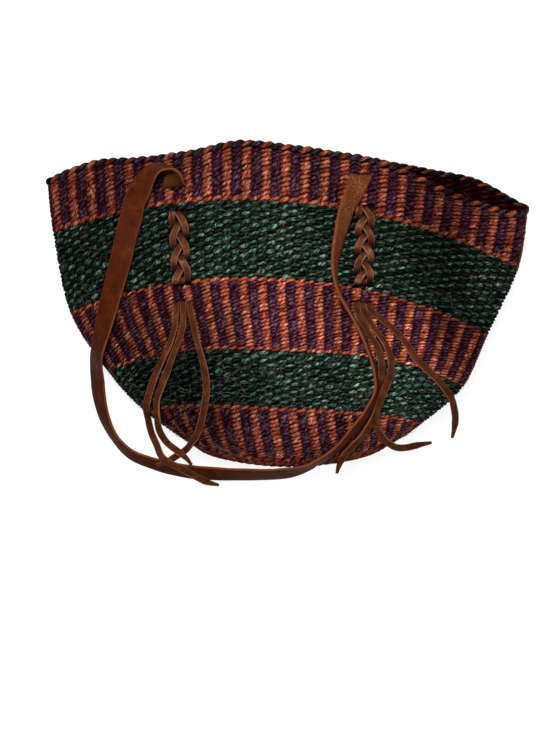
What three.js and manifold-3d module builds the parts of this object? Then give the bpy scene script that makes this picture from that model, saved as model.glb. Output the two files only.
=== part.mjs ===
// A kiondo: a shoulder bag twined from dyed sisal, with two leather handles, lying flat on its back.
// X runs along the mouth, Y from the base to the mouth and Z up from the ground. Millimetres.

import * as THREE from 'three';
import { mergeVertices } from 'three/addons/utils/BufferGeometryUtils.js';
import Module from 'manifold-3d';

const wasm = await Module();
wasm.setup();

// The bag, laid flat
const bagWidth = 430; // about the whole width across the mouth
const bagHeight = 288.5; // base to the top of the mouth's arch
const bagThickness = 74; // ground to the highest place of the front wall
const bagBottom = -139; // Y of the base
const wallThickness = 4.5; // two yarns twined round a warp
const bandGap = 0.3; // between the weave's bands
const rimThickness = 7; // the rolled edging, across

// The leather
const strapWidth = 20;
const leatherThickness = 2.4;
const thongWidth = 5.2; // each of the three that a strap's end is cut into
const thongGap = 0.6; // between the three where they lie side by side
const plaitWidth = 17; // three thongs plaited, across
const plaitEnd = 6; // from a slit to where the plaiting starts
const tailStart = 8; // how far the thongs run past the last slit before they are free
const seamGap = 0.3; // end to end, from one length of leather to the next
const seatGap = 0.6; // leather to the weave that it lies on
const groundGap = 0.3; // leather to the ground under the bag
const archedBend = 82; // of a strap that arches over its slit, from inside it to where it swings as a whole
const plainBend = 46; // of a strap that leaves its slit straight

// The slits that the leather passes through
const slitClearance = 1.2; // all round the leather
const strapSlitLength = 11; // along the wall, for a strap that turns in it
const thongSlitLength = 7.4; // along the wall, for thongs that turn in it

const steelBlue = 0x25322e;
const brick = 0x9c4526;
const violet = 0x33233c;
const darkLeather = 0x4e2515;
const tanLeather = 0x6e3f28;

// Rows of the weave where it changes colour or turns, from the mouth to the middle of the base. left, right, leftY,
// rightY and rise place the row's two ends and the arch between them, back and front its heights over the ground.
const rowShares = [
  { left: -0.504, leftY: 0.884, right: 0.502, rightY: 0.78, rise: 0.164, arch: 2, back: 0.02, front: 0.5 },
  { left: -0.488, leftY: 0.72, right: 0.477, rightY: 0.61, rise: 0.146, arch: 2, back: 0.14, front: 0.64 },
  { left: -0.45, leftY: 0.473, right: 0.412, rightY: 0.405, rise: 0.137, arch: 2.2, back: 0.13, front: 0.8 },
  { left: -0.37, leftY: 0.29, right: 0.359, rightY: 0.244, rise: 0.088, arch: 3.2, back: 0.1, front: 0.93 },
  { left: -0.301, leftY: 0.177, right: 0.276, rightY: 0.134, rise: 0.03, arch: 4, back: 0.05, front: 0.97 },
  { left: -0.21, leftY: 0.076, right: 0.221, rightY: 0.076, rise: -0.046, arch: 2, back: -0.065, front: 0.78 },
  { left: -0.146, leftY: 0.026, right: 0.152, rightY: 0.026, rise: -0.024, arch: 2, back: 0.1, front: 0.6 },
  { left: 0.005, leftY: 0, right: 0.005, rightY: 0, rise: 0, arch: 2, back: 0.36, front: 0.36 },
];
const baseRow = 5; // the row where the base turns under
const lastRow = rowShares.length - 1;
const foldShare = 2.3; // how square the bag's section is: 2 is an ellipse

// The mouth is wavy, and open at its right. At even steps across it, from the left fold to the right: how far its edge
// lies above the arch of its row, and how far the front of it sags below the back.
const mouthShares = [
  { above: 0.011, sag: 0 },
  { above: 0.021, sag: 0.009 },
  { above: -0.005, sag: 0.007 },
  { above: -0.008, sag: 0.006 },
  { above: 0.014, sag: 0.006 },
  { above: 0.006, sag: 0.007 },
  { above: 0.008, sag: 0.014 },
  { above: 0.015, sag: 0.02 },
  { above: 0.0295, sag: 0.067 },
  { above: 0.053, sag: 0.125 },
  { above: 0.037, sag: 0.125 },
];

// The bands of colour, by the rows that they lie between and the steps that shape each
const bands = [
  { name: 'top_striped_band', from: 0, to: 1, steps: 2, colour: brick },
  { name: 'upper_green_band', from: 1, to: 2, steps: 2, colour: steelBlue },
  { name: 'middle_striped_band', from: 2, to: 3, steps: 2, colour: brick },
  { name: 'lower_green_band', from: 3, to: 4, steps: 2, colour: steelBlue },
  { name: 'bottom_striped_band', from: 4, to: baseRow, steps: 2, colour: violet },
  { name: 'woven_base', from: baseRow, to: lastRow, steps: 4, colour: brick },
];
const turnSteps = 48; // facets round the bag

// Any place between the entries of a table, along a smooth curve through them
function blended(table, place) {
  const last = table.length - 1;
  const i = Math.min(Math.floor(place), last - 1);
  const t = place - i;
  const near = [i - 1, i, i + 1, i + 2].map((k) => table[THREE.MathUtils.clamp(k, 0, last)]);
  const mixed = {};
  for (const key of Object.keys(table[0])) {
    const [a, b, c, d] = near.map((entry) => entry[key]);
    const slopeB = (c - a) / 2;
    const slopeC = (d - b) / 2;
    const cubic = 2 * (b - c) + slopeB + slopeC;
    const square = 3 * (c - b) - 2 * slopeB - slopeC;
    mixed[key] = ((cubic * t + square) * t + slopeB) * t + b;
  }
  return mixed;
}

function rowY(shares, row, across, onFront) {
  const straight = THREE.MathUtils.lerp(shares.leftY, shares.rightY, (across + 1) / 2);
  const arched = straight + shares.rise * (1 - Math.abs(across) ** shares.arch);
  const mouth = blended(mouthShares, ((across + 1) / 2) * (mouthShares.length - 1));
  const waved = (mouth.above - mouth.sag * onFront) * (1 - THREE.MathUtils.smoothstep(row, 0, 1));
  return bagBottom + bagHeight * (arched + waved);
}

// How far a section of the bag stands out in front, as a share, at a place across it
function proudAt(across) {
  return (1 - Math.min(1, Math.abs(across)) ** foldShare) ** (1 / foldShare);
}

// A point of the wall. turn goes once round the bag: 0 at its right fold, a quarter in the middle of the front.
function wallPoint(row, turn, inset) {
  const shares = blended(rowShares, row);
  const cos = Math.cos(2 * Math.PI * turn);
  const sin = Math.sin(2 * Math.PI * turn);
  const across = Math.sign(cos) * Math.abs(cos) ** (2 / foldShare);
  const proud = Math.sign(sin) * Math.abs(sin) ** (2 / foldShare);
  const fullWidth = ((shares.right - shares.left) / 2) * bagWidth;
  const fullDepth = ((shares.front - shares.back) / 2) * bagThickness;
  const edge = rowShares[baseRow];
  const widthLeft = 1 - inset / (((edge.right - edge.left) / 2) * bagWidth);
  const depthLeft = 1 - inset / (((edge.front - edge.back) / 2) * bagThickness);
  const onBase = row > baseRow;
  const halfWidth = onBase ? fullWidth * widthLeft : fullWidth - inset;
  const halfDepth = onBase ? fullDepth * depthLeft : fullDepth - inset;
  const lift = inset * THREE.MathUtils.smoothstep(row, baseRow - 1, baseRow + 1);
  const x = ((shares.left + shares.right) / 2) * bagWidth + halfWidth * across;
  const y = rowY(shares, row, across, Math.max(0, proud)) + lift;
  const z = ((shares.front + shares.back) / 2) * bagThickness + halfDepth * proud;
  return new THREE.Vector3(x, y, Math.max(z, inset));
}

// Height of the bag's outer face over a place on the ground, or null beside the bag. side is 1 in front, -1 behind.
function bagFace(x, y, side) {
  let low = 0;
  let high = lastRow;
  let shares;
  let across;
  while (high - low > 1e-4) {
    const row = (low + high) / 2;
    shares = blended(rowShares, row);
    across = (x / bagWidth - (shares.left + shares.right) / 2) / ((shares.right - shares.left) / 2);
    const clamped = THREE.MathUtils.clamp(across, -1, 1);
    if (rowY(shares, row, clamped, Math.max(0, side) * proudAt(across)) > y) low = row;
    else high = row;
  }
  if (Math.abs(across) >= 1) return null;
  const middle = (shares.front + shares.back) / 2;
  const depth = (shares.front - shares.back) / 2;
  return Math.max(0, bagThickness * (middle + side * depth * proudAt(across)));
}

function rise(x, y, side) {
  return bagFace(x, y, side) ?? 0;
}

function faceNormal(x, y, side) {
  const reach = strapWidth / 4;
  if (bagFace(x, y, side) === null) return new THREE.Vector3(0, 0, 1);
  const here = rise(x, y, side);
  const slopeX = ((bagFace(x + reach, y, side) ?? here) - (bagFace(x - reach, y, side) ?? here)) / (2 * reach);
  const slopeY = ((bagFace(x, y + reach, side) ?? here) - (bagFace(x, y - reach, side) ?? here)) / (2 * reach);
  return new THREE.Vector3(-slopeX, -slopeY, 1).normalize();
}

// Solids
function solidOf(geometry) {
  const bare = geometry.clone();
  bare.deleteAttribute('normal');
  bare.deleteAttribute('uv');
  const merged = mergeVertices(bare, 1e-4);
  const mesh = new wasm.Mesh({
    numProp: 3,
    vertProperties: merged.attributes.position.array,
    triVerts: merged.index.array,
  });
  return new wasm.Manifold(mesh);
}

function geometryOf(solid) {
  const { vertProperties, triVerts } = solid.getMesh();
  const geometry = new THREE.BufferGeometry();
  geometry.setAttribute('position', new THREE.BufferAttribute(vertProperties, 3));
  geometry.setIndex(new THREE.BufferAttribute(triVerts, 1));
  return geometry;
}

// Least distance between two rows of the wall, all round
function rowDistance(from, to) {
  let least = Infinity;
  for (let i = 0; i < turnSteps; i++) {
    const turn = i / turnSteps;
    least = Math.min(least, wallPoint(from, turn, 0).distanceTo(wallPoint(to, turn, 0)));
  }
  return least;
}

// The row at least a distance away from another, towards the base (way 1) or the mouth (way -1)
function rowBeyond(from, distance, way) {
  let near = 0;
  let far = 1;
  while (far - near > 1e-5) {
    const step = (near + far) / 2;
    if (rowDistance(from, from + way * step) < distance) near = step;
    else far = step;
  }
  return from + way * far;
}

// One band of the wall: an outer and an inner face joined along both edges, or closed in the middle of the base
function bandGeometry(from, to, steps) {
  const closes = to >= lastRow;
  const rings = closes ? steps : steps + 1;
  const points = [];
  for (const inset of [0, wallThickness]) {
    for (let r = 0; r < rings; r++) {
      for (let i = 0; i < turnSteps; i++) {
        points.push(wallPoint(THREE.MathUtils.lerp(from, to, r / steps), i / turnSteps, inset));
      }
    }
  }
  const index = [];
  const at = (face, r, i) => (face * rings + r) * turnSteps + (i % turnSteps);
  const quad = (a, b, c, d) => index.push(a, b, c, a, c, d);
  for (let i = 0; i < turnSteps; i++) {
    for (let r = 0; r < rings - 1; r++) {
      quad(at(0, r, i), at(0, r, i + 1), at(0, r + 1, i + 1), at(0, r + 1, i));
      quad(at(1, r, i), at(1, r + 1, i), at(1, r + 1, i + 1), at(1, r, i + 1));
    }
    quad(at(0, 0, i), at(1, 0, i), at(1, 0, i + 1), at(0, 0, i + 1));
    if (closes) {
      const outerPole = points.length;
      index.push(at(0, rings - 1, i), at(0, rings - 1, i + 1), outerPole);
      index.push(at(1, rings - 1, i + 1), at(1, rings - 1, i), outerPole + 1);
    } else {
      quad(at(0, rings - 1, i), at(0, rings - 1, i + 1), at(1, rings - 1, i + 1), at(1, rings - 1, i));
    }
  }
  if (closes) points.push(wallPoint(lastRow, 0, 0), wallPoint(lastRow, 0, wallThickness));
  const geometry = new THREE.BufferGeometry().setFromPoints(points);
  geometry.setIndex(index);
  return geometry;
}

// A length of leather laid along points, its width along the side given at each
class LaidPath extends THREE.CatmullRomCurve3 {
  constructor(points, sides) {
    super(points, false, 'centripetal');
    this.sides = sides;
  }

  frameAt(u) {
    const t = this.getUtoTmapping(u);
    const place = t * (this.sides.length - 1);
    const k = Math.min(Math.floor(place), this.sides.length - 2);
    const tangent = this.getTangent(t);
    const side = this.sides[k].clone().lerp(this.sides[k + 1], place - k);
    side.addScaledVector(tangent, -side.dot(tangent)).normalize();
    return { tangent, side };
  }
}

// The stretch of such a length between two places along it
class Stretch extends THREE.Curve {
  constructor(path, from, to) {
    super();
    this.path = path;
    this.from = from;
    this.to = to;
  }

  placeAt(t) {
    return THREE.MathUtils.lerp(this.from, this.to, t) / this.path.getLength();
  }

  getPoint(t) {
    return this.path.getPointAt(this.placeAt(t));
  }

  computeFrenetFrames(segments) {
    const frames = { tangents: [], normals: [], binormals: [] };
    for (let i = 0; i <= segments; i++) {
      const { tangent, side } = this.path.frameAt(this.placeAt(i / segments));
      frames.tangents.push(tangent);
      frames.normals.push(side);
      frames.binormals.push(new THREE.Vector3().crossVectors(tangent, side));
    }
    return frames;
  }
}

// Flat leather with its edges eased
function leatherSection(width) {
  const w = width / 2;
  const h = leatherThickness / 2;
  const edge = h / 2;
  const outline = [
    [w, 0],
    [w - edge, h],
    [edge - w, h],
    [-w, 0],
    [edge - w, -h],
    [w - edge, -h],
  ];
  return new THREE.Shape(outline.map(([x, y]) => new THREE.Vector2(x, y)));
}

function stretchGeometry(path, from, to, width, steps) {
  const extrudePath = new Stretch(path, from, to);
  return new THREE.ExtrudeGeometry(leatherSection(width), { steps, extrudePath, bevelEnabled: false });
}

function laidLeather(points, sides, width, steps) {
  const path = new LaidPath(points, sides);
  return stretchGeometry(path, 0, path.getLength(), width, steps);
}

function tangentAt(points, i) {
  const ahead = points[Math.min(i + 1, points.length - 1)];
  const behind = points[Math.max(i - 1, 0)];
  return new THREE.Vector3().subVectors(ahead, behind).normalize();
}

// Sides of a strap that lies on a face of the bag, turned about its own length by a twist in degrees
function twistedSides(points, twists, side) {
  return points.map((point, i) => {
    const tangent = tangentAt(points, i);
    const up = side > 0 ? faceNormal(point.x, point.y, side) : new THREE.Vector3(0, 0, 1);
    const across = new THREE.Vector3().crossVectors(up, tangent).normalize();
    return across.applyAxisAngle(tangent, THREE.MathUtils.degToRad(twists[i]));
  });
}

function placed(xShare, yShare) {
  return new THREE.Vector2(xShare * bagWidth, bagBottom + yShare * bagHeight);
}

// Where each handle is fastened, at both ends: the strap's slit, the slit that its thongs come out of, the one that
// the plait ends in and the one that the tails come out of.
const fasteningShares = {
  left: [[-0.235, 0.857], [-0.225, 0.784], [-0.216, 0.555], [-0.212, 0.504]],
  right: [[0.154, 0.896], [0.157, 0.799], [0.151, 0.552], [0.152, 0.501]],
};
const crossings = { left: 6, right: 8 }; // times that the thongs of a plait cross

// Depth under a face of the bag. Behind, depth goes up from the ground, and leather outside lies on the ground.
function under(x, y, side, depth) {
  const face = rise(x, y, side);
  if (side > 0) return face - depth;
  return Math.max(face + depth, leatherThickness / 2 + 2 * groundGap);
}

const thongPitch = thongWidth + thongGap;
const innerDepth = wallThickness + leatherThickness / 2;
const outerLift = leatherThickness / 2 + seatGap;
const plaitSwing = (plaitWidth - thongWidth) / 2;
const plaitLayer = 1.15 * leatherThickness; // how far a thong rises and dips about the plait's middle

// Which lane each thong takes: the three are a third of a turn apart in the plait
function plaitPhase(k) {
  return (2 * Math.PI * k) / 3;
}

function frameOf(from, to) {
  const along = new THREE.Vector2().subVectors(to, from);
  const length = along.length();
  along.normalize();
  return { length, along, across: new THREE.Vector2(-along.y, along.x) };
}

// One thong of a fastening, from inside the bag out through its slit, along the plait and in and out again
function thongPoints(slits, side, crossed, k) {
  const [, start, end, out] = slits;
  const { length, along, across } = frameOf(start, end);
  const turned = (crossed * Math.PI) / 3;
  const swing = (turn) => plaitSwing * Math.sin(plaitPhase(k) + turn);
  const points = [];
  const add = (q, sideways, depth) => {
    const x = start.x + along.x * q + across.x * sideways;
    const y = start.y + along.y * q + across.y * sideways;
    points.push(new THREE.Vector3(x, y, under(x, y, side, depth)));
  };
  const layer = (turn) => plaitLayer * Math.sin(2 * (plaitPhase(k) + turn));
  const plaitLift = outerLift + plaitLayer;
  const firstLane = Math.round(Math.sin(plaitPhase(k)) / Math.sin(Math.PI / 3)) * thongPitch;
  const lastLane = Math.round(Math.sin(plaitPhase(k) + turned) / Math.sin(Math.PI / 3)) * thongPitch;
  add(0, firstLane, innerDepth);
  add(0, firstLane, wallThickness / 2);
  add(leatherThickness / 4, firstLane, -seatGap);
  const stops = crossed * 3;
  for (let s = 0; s <= stops; s++) {
    const turn = (turned * s) / stops;
    const q = THREE.MathUtils.lerp(plaitEnd, length - plaitEnd, s / stops);
    add(q, swing(turn), -(plaitLift + side * layer(turn)));
  }
  add(length - leatherThickness / 4, lastLane, -seatGap);
  add(length, lastLane, wallThickness / 2);
  const bridge = out.distanceTo(end);
  add(length + leatherThickness, lastLane, innerDepth + seatGap);
  add(length + bridge - leatherThickness, lastLane, innerDepth + seatGap);
  add(length + bridge, lastLane, wallThickness / 2);
  add(length + bridge + leatherThickness / 2, lastLane, -seatGap);
  add(length + bridge + 2 * leatherThickness, lastLane, -outerLift);
  add(length + bridge + tailStart, lastLane, -outerLift);
  return { points, lane: lastLane, along, across };
}

// The strap's end inside the wall, from its own slit to the thongs' slit
function tongueGeometry(slits, side) {
  const [strapSlit, thongSlit] = slits;
  const { length, along, across } = frameOf(strapSlit, thongSlit);
  const plait = frameOf(thongSlit, slits[2]);
  const turn = 2 * leatherThickness;
  const shallow = innerDepth + seamGap;
  const deep = innerDepth + turn;
  const stops = [[0, shallow], [0, shallow + leatherThickness / 2], [turn, deep]];
  const thongEnd = innerDepth + 2 * seatGap;
  stops.push([length - turn, deep], [length, thongEnd + leatherThickness / 2], [length, thongEnd]);
  const points = stops.map(([q, depth]) => {
    const x = strapSlit.x + along.x * q;
    const y = strapSlit.y + along.y * q;
    return new THREE.Vector3(x, y, under(x, y, side, depth));
  });
  const sides = points.map((_, i) => {
    const wide = i < points.length / 2 ? across : plait.across;
    return new THREE.Vector3(wide.x, wide.y, 0);
  });
  return laidLeather(points, sides, strapWidth, 10);
}

// The rolled edging round the mouth
function edgingGeometry() {
  const row = rowBeyond(0, rimThickness / 2, 1);
  const points = [];
  for (let i = 0; i < turnSteps; i++) points.push(wallPoint(row, i / turnSteps, wallThickness / 2));
  const loop = new THREE.CatmullRomCurve3(points, true);
  return new THREE.TubeGeometry(loop, turnSteps + turnSteps / 2, rimThickness / 2, 8, true);
}

function slitCutter(place, across, width, length, side) {
  const depth = 3 * wallThickness;
  const box = new THREE.BoxGeometry(width, length, depth);
  box.rotateZ(Math.atan2(across.y, across.x));
  const middle = rise(place.x, place.y, side) - (side * wallThickness) / 2;
  box.translate(place.x, place.y, middle);
  return solidOf(box);
}

function slitCutters(slits, side) {
  const [strapSlit, start, end, out] = slits;
  const tongue = frameOf(strapSlit, start);
  const plait = frameOf(start, end);
  const thongs = 3 * thongPitch + 2 * slitClearance;
  return [
    slitCutter(strapSlit, tongue.across, strapWidth + 2 * slitClearance, strapSlitLength, side),
    slitCutter(start, plait.across, strapWidth + slitClearance, thongSlitLength, side),
    slitCutter(end, plait.across, thongs, thongSlitLength, side),
    slitCutter(out, plait.across, thongs, thongSlitLength, side),
  ];
}

// The front handle, from its left slit to its right one: across and up the bag, the lift over what it lies on as a
// share of its width, and the twist about its own length in degrees.
const frontHandleShares = [
  [-0.241, 0.878, 0.2, 140],
  [-0.258, 0.902, 0.15, 96],
  [-0.283, 0.912, 0.15, 62],
  [-0.301, 0.89, 0.25, 33],
  [-0.31, 0.851, 0.3, 12],
  [-0.316, 0.808, 0.2, 4],
  [-0.322, 0.768, 0.1, 2],
  [-0.334, 0.713, 0.05, 5],
  [-0.349, 0.628, 0.03, 10],
  [-0.37, 0.527, 0.03, 20],
  [-0.388, 0.436, 0.05, 33],
  [-0.399, 0.354, 0.15, 43],
  [-0.4, 0.274, 0.95, 48],
  [-0.395, 0.203, 0.4, 52],
  [-0.383, 0.138, 0.12, 60],
  [-0.362, 0.08, 0.02, 68],
  [-0.33, 0.033, 0.02, 62],
  [-0.278, 0.002, 0.02, 56],
  [-0.214, -0.02, 0.02, 52],
  [-0.152, -0.026, 0.3, 54],
  [-0.08, -0.025, 0.95, 58],
  [-0.007, -0.015, 2, 60],
  [0.049, 0.015, 0.2, 54],
  [0.096, 0.061, 0.02, 50],
  [0.131, 0.119, 0.02, 50],
  [0.16, 0.18, 0.02, 58],
  [0.175, 0.238, 0.02, 70],
  [0.171, 0.299, 0.02, 74],
  [0.158, 0.36, 0.02, 74],
  [0.14, 0.421, 0.02, 76],
  [0.119, 0.479, 0.02, 74],
  [0.109, 0.537, 0.02, 68],
  [0.102, 0.604, 0.02, 55],
  [0.101, 0.671, 0.05, 38],
  [0.107, 0.732, 0.25, 22],
  [0.115, 0.78, 0.42, 12],
  [0.127, 0.826, 0.35, 6],
  [0.142, 0.863, 0.25, 2],
];

// The back handle lies under the bag, flat on the ground
const backHandleShares = [
  [-0.25, 0.815, 0.06],
  [-0.28, 0.775],
  [-0.335, 0.73],
  [-0.385, 0.655],
  [-0.412, 0.56],
  [-0.412, 0.46],
  [-0.385, 0.36],
  [-0.335, 0.275],
  [-0.26, 0.228],
  [-0.17, 0.206],
  [-0.07, 0.2],
  [0.03, 0.201],
  [0.13, 0.208],
  [0.22, 0.23],
  [0.295, 0.28],
  [0.35, 0.36],
  [0.38, 0.46],
  [0.38, 0.56],
  [0.355, 0.66],
  [0.305, 0.735],
  [0.24, 0.78],
  [0.188, 0.82, 0.02],
  [0.163, 0.858, 0.06],
];

function slitPlaces(end) {
  return fasteningShares[end].map(([xShare, yShare]) => placed(xShare, yShare));
}

// A whole handle as one path, inside slit to inside slit
function handlePath(shares, side) {
  const points = [];
  const twists = [];
  for (const [xShare, yShare, liftShare = 0, twist = 0] of shares) {
    const { x, y } = placed(xShare, yShare);
    const turned = THREE.MathUtils.degToRad(twist);
    const half = (strapWidth * Math.abs(Math.sin(turned)) + leatherThickness * Math.abs(Math.cos(turned))) / 2;
    const z = side > 0 ? rise(x, y, side) + seatGap : groundGap;
    points.push(new THREE.Vector3(x, y, z + half + liftShare * strapWidth));
    twists.push(twist);
  }
  const sides = twistedSides(points, twists, side);
  for (const end of ['left', 'right']) {
    const [slit, next] = slitPlaces(end);
    const { across } = frameOf(slit, next);
    const wide = new THREE.Vector3(across.x, across.y, 0);
    if (end === 'right') wide.negate();
    const stub = [innerDepth, wallThickness / 2].map(
      (depth) => new THREE.Vector3(slit.x, slit.y, under(slit.x, slit.y, side, depth)),
    );
    const stubSides = [wide, wide];
    if (end === 'left') {
      points.unshift(...stub);
      sides.unshift(...stubSides);
    } else {
      points.push(...stub.reverse());
      sides.push(...stubSides);
    }
  }
  return new LaidPath(points, sides);
}

// The free tails lie in loose curves: steps across, up and in lift from where each thong leaves its slit, in mm
const tailRoutes = {
  front_left: [
    [[-4, -13, 0], [-10, -27, 0.2], [-16, -40, 0.2], [-23, -55, 0.4], [-28, -69, 1], [-31, -82, 3],
      [-31, -94, 35], [-28, -107, 29], [-22.5, -118, 26.5], [-18, -128, 25], [-10, -134, 24.5], [1, -139, 21],
      [12, -145.5, 18], [23.5, -152, 12], [34, -155.5, 3]],
    [[-3, -13, 0], [-6.5, -25.5, 0.2], [-11, -39.5, 0.2], [-15, -52, 0.2], [-19.5, -65, 0.2],
      [-23, -78, 0.8], [-23, -91.5, 4], [-22, -105, 42], [-16, -116, 33], [-6.5, -124, 30], [0.5, -130, 27],
      [5, -136, 24]],
    [[2, -13, 0], [3.5, -25.5, 0.2], [8, -40.5, 0.2], [11.5, -53.5, 0.2], [13.5, -67.5, 0.2],
      [13.5, -80, 0.2], [11, -93, 0.4], [7, -105.5, 1], [1, -115, 3], [-7, -124, 22], [-16, -130, 17.8],
      [-24.5, -134.5, 20.5], [-32.5, -137, 20.5]],
  ],
  front_right: [
    [[5.2, -9.3, 0], [13.6, -20, 0.2], [22, -31, 0.2], [25.5, -42.5, 0.2], [26.5, -54.5, 0.2],
      [24.5, -66, 0.2], [22, -77.5, 0.2], [19.5, -89, 0.2], [20, -100, 0.4], [24, -109, 2], [31, -116, 6],
      [39, -120, 30], [48.5, -120.5, 17], [59, -119, 6], [72, -117, 0]],
    [[6.8, -8.7, 0], [16, -18.4, 0.2], [25, -29, 0.2], [29.5, -39.5, 0.4], [30, -50, 1],
      [26, -60.5, 2.8], [21, -69.5, 3.5], [17, -79, 3.5], [12, -90, 3.3], [6, -99.5, 2], [-1, -109, 0.8],
      [-9.5, -118, 1.5], [-16, -125, 4], [-19.5, -133, 50], [-21.5, -141, 43]],
    [[13.5, -8.5, 0], [24, -18, 0.2], [33, -28.5, 0.2], [39, -38.5, 0.2], [48.5, -48.5, 0.2],
      [58, -57, 0.4], [66, -66, 0.8], [72.5, -75, 2.5], [77.5, -84.5, 30], [80.5, -94, 15], [81, -103, 4],
      [79.5, -112, 0]],
  ],
  back_left: [
    [[1, -16, 7], [6, -31, 20], [15, -44, 20], [27, -53, 20], [41, -58, 20], [55, -60, 20],
      [70, -61, 20], [84, -61, 20]],
    [[1, -13, 6], [6, -26, 20], [15, -36, 20], [27, -43, 20], [41, -47, 20], [56, -49, 20],
      [72, -49.5, 20]],
    [[1.5, -10, 5], [7, -19, 20], [16, -26.5, 20], [28, -31.5, 20], [42, -34.5, 20], [56, -35.5, 20],
      [70, -35.5, 20]],
  ],
  back_right: [
    [[-1.5, -11, 5], [-7.5, -20, 20], [-17, -27, 20], [-29, -32, 20], [-41, -34.5, 20], [-54, -35, 20]],
    [[-1, -13, 6], [-6, -26, 20], [-15, -36, 20], [-27, -43, 20], [-40, -47, 20], [-54, -48.5, 20]],
    [[0, -15, 7], [-4, -30, 20], [-12, -43, 20], [-23, -52, 20], [-36, -58, 20], [-49, -60.5, 20],
      [-62, -61, 20]],
  ],
};
const tailSteps = 15;

function tailGeometry(route, from, along, side) {
  const straight = [seamGap, thongWidth].map((q) => [along.x * q, along.y * q, 0]);
  const points = [...straight, ...route].map(([dx, dy, lift]) => {
    const x = from.x + dx;
    const y = from.y + dy;
    return new THREE.Vector3(x, y, under(x, y, side, -(outerLift + lift)));
  });
  return laidLeather(points, twistedSides(points, points.map(() => 0), side), thongWidth, tailSteps);
}

// Assembly
const group = new THREE.Group();

function add(name, geometry, colour, roughness) {
  const material = new THREE.MeshStandardMaterial({ color: colour, roughness, metalness: 0 });
  const mesh = new THREE.Mesh(geometry, material);
  mesh.name = name;
  group.add(mesh);
}

const sisalRoughness = 0.85;
const leatherRoughness = 0.55;
const cutters = [];
for (const end of ['left', 'right']) {
  for (const side of [1, -1]) cutters.push(...slitCutters(slitPlaces(end), side));
}

add('rim_edging', edgingGeometry(), violet, sisalRoughness);
for (const { name, from, to, steps, colour } of bands) {
  const topGap = from === 0 ? rimThickness + 4 * bandGap : bandGap / 2;
  const start = rowBeyond(from, topGap, 1);
  const stop = to < lastRow ? rowBeyond(to, bandGap / 2, -1) : to;
  let wall = solidOf(bandGeometry(start, stop, steps));
  for (const cutter of cutters) wall = wall.subtract(cutter);
  add(name, geometryOf(wall), colour, sisalRoughness);
}

const handles = [
  { face: 'front', side: 1, shares: frontHandleShares, steps: 52 },
  { face: 'back', side: -1, shares: backHandleShares, steps: 36 },
];
for (const { face, side, shares, steps } of handles) {
  const path = handlePath(shares, side);
  const length = path.getLength();
  const runStart = side > 0 ? archedBend : plainBend;
  const runEnd = length - plainBend;
  const run = stretchGeometry(path, runStart + seamGap, runEnd - seamGap, strapWidth, steps);
  add(`${face}_strap`, run, darkLeather, leatherRoughness);
  const leftBend = stretchGeometry(path, 0, runStart, strapWidth, side > 0 ? 20 : 12);
  add(`${face}_left_strap_bend`, leftBend, tanLeather, leatherRoughness);
  const rightBend = stretchGeometry(path, runEnd, length, strapWidth, 12);
  add(`${face}_right_strap_bend`, rightBend, tanLeather, leatherRoughness);
  for (const end of ['left', 'right']) {
    const slits = slitPlaces(end);
    add(`${face}_${end}_strap_tongue`, tongueGeometry(slits, side), tanLeather, leatherRoughness);
    for (let k = 0; k < 3; k++) {
      const { points, lane, along, across } = thongPoints(slits, side, crossings[end], k);
      const sides = points.map(() => new THREE.Vector3(across.x, across.y, 0));
      const thong = laidLeather(points, sides, thongWidth, crossings[end] * 3 + 10);
      const place = Math.round(lane / thongPitch) + 2;
      add(`${face}_${end}_plait_thong_${place}`, thong, tanLeather, leatherRoughness);
      const last = points[points.length - 1];
      const tail = tailGeometry(tailRoutes[`${face}_${end}`][place - 1], last, along, side);
      add(`${face}_${end}_tail_${place}`, tail, tanLeather, leatherRoughness);
    }
  }
  console.log(`${face} handle: ${length.toFixed(0)} mm between its slits`);
}

export default group;
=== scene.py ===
# %% [markdown]
# # A kiondo basket, woven in code
#
# The object is a soft shoulder bag twined from dyed sisal, with two leather handles. It lies on its back
# under a camera that looks straight down. The fixed frame is the packed CAD model: its nodes give every
# place and size, and each piece made here takes the place of one or more of them.
#
# Everything is worked out in millimetres, like the drawing of the bag, and turned into metres as a mesh
# is made.

# %% The frame
import math

import bpy
import numpy as np
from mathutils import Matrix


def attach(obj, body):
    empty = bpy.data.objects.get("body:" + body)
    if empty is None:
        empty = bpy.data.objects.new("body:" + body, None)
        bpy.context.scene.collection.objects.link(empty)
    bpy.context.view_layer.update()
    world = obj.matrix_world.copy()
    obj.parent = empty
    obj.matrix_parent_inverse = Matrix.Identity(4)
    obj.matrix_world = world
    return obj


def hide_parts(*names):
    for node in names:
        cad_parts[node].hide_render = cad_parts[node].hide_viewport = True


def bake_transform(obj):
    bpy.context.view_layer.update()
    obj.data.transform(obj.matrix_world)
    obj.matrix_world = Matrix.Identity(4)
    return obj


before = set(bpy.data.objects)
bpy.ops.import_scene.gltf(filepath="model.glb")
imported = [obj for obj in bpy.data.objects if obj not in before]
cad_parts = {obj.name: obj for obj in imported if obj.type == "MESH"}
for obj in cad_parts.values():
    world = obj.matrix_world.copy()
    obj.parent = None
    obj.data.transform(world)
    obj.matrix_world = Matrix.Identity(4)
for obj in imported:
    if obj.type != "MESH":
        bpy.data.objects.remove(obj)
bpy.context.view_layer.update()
MM = 0.001
rng = np.random.default_rng(7)

# %% [markdown]
# ## Camera
#
# The photograph was taken from straight above. One pixel of it is 0.88 mm at the height of the front of
# the bag, so the lens follows from the camera's height. A long lens from 1.25 m keeps the sides of the
# bag from spreading, as in the photograph.

# %% The camera
PHOTO_WIDTH, PHOTO_HEIGHT = 550, 733
PIXEL = 0.88 * MM
PHOTO_CENTRE = (288.5, 309.7)  # the pixel over the frame's origin
CAMERA_HEIGHT = 1.25
FOCUS_HEIGHT = 0.045

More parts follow.
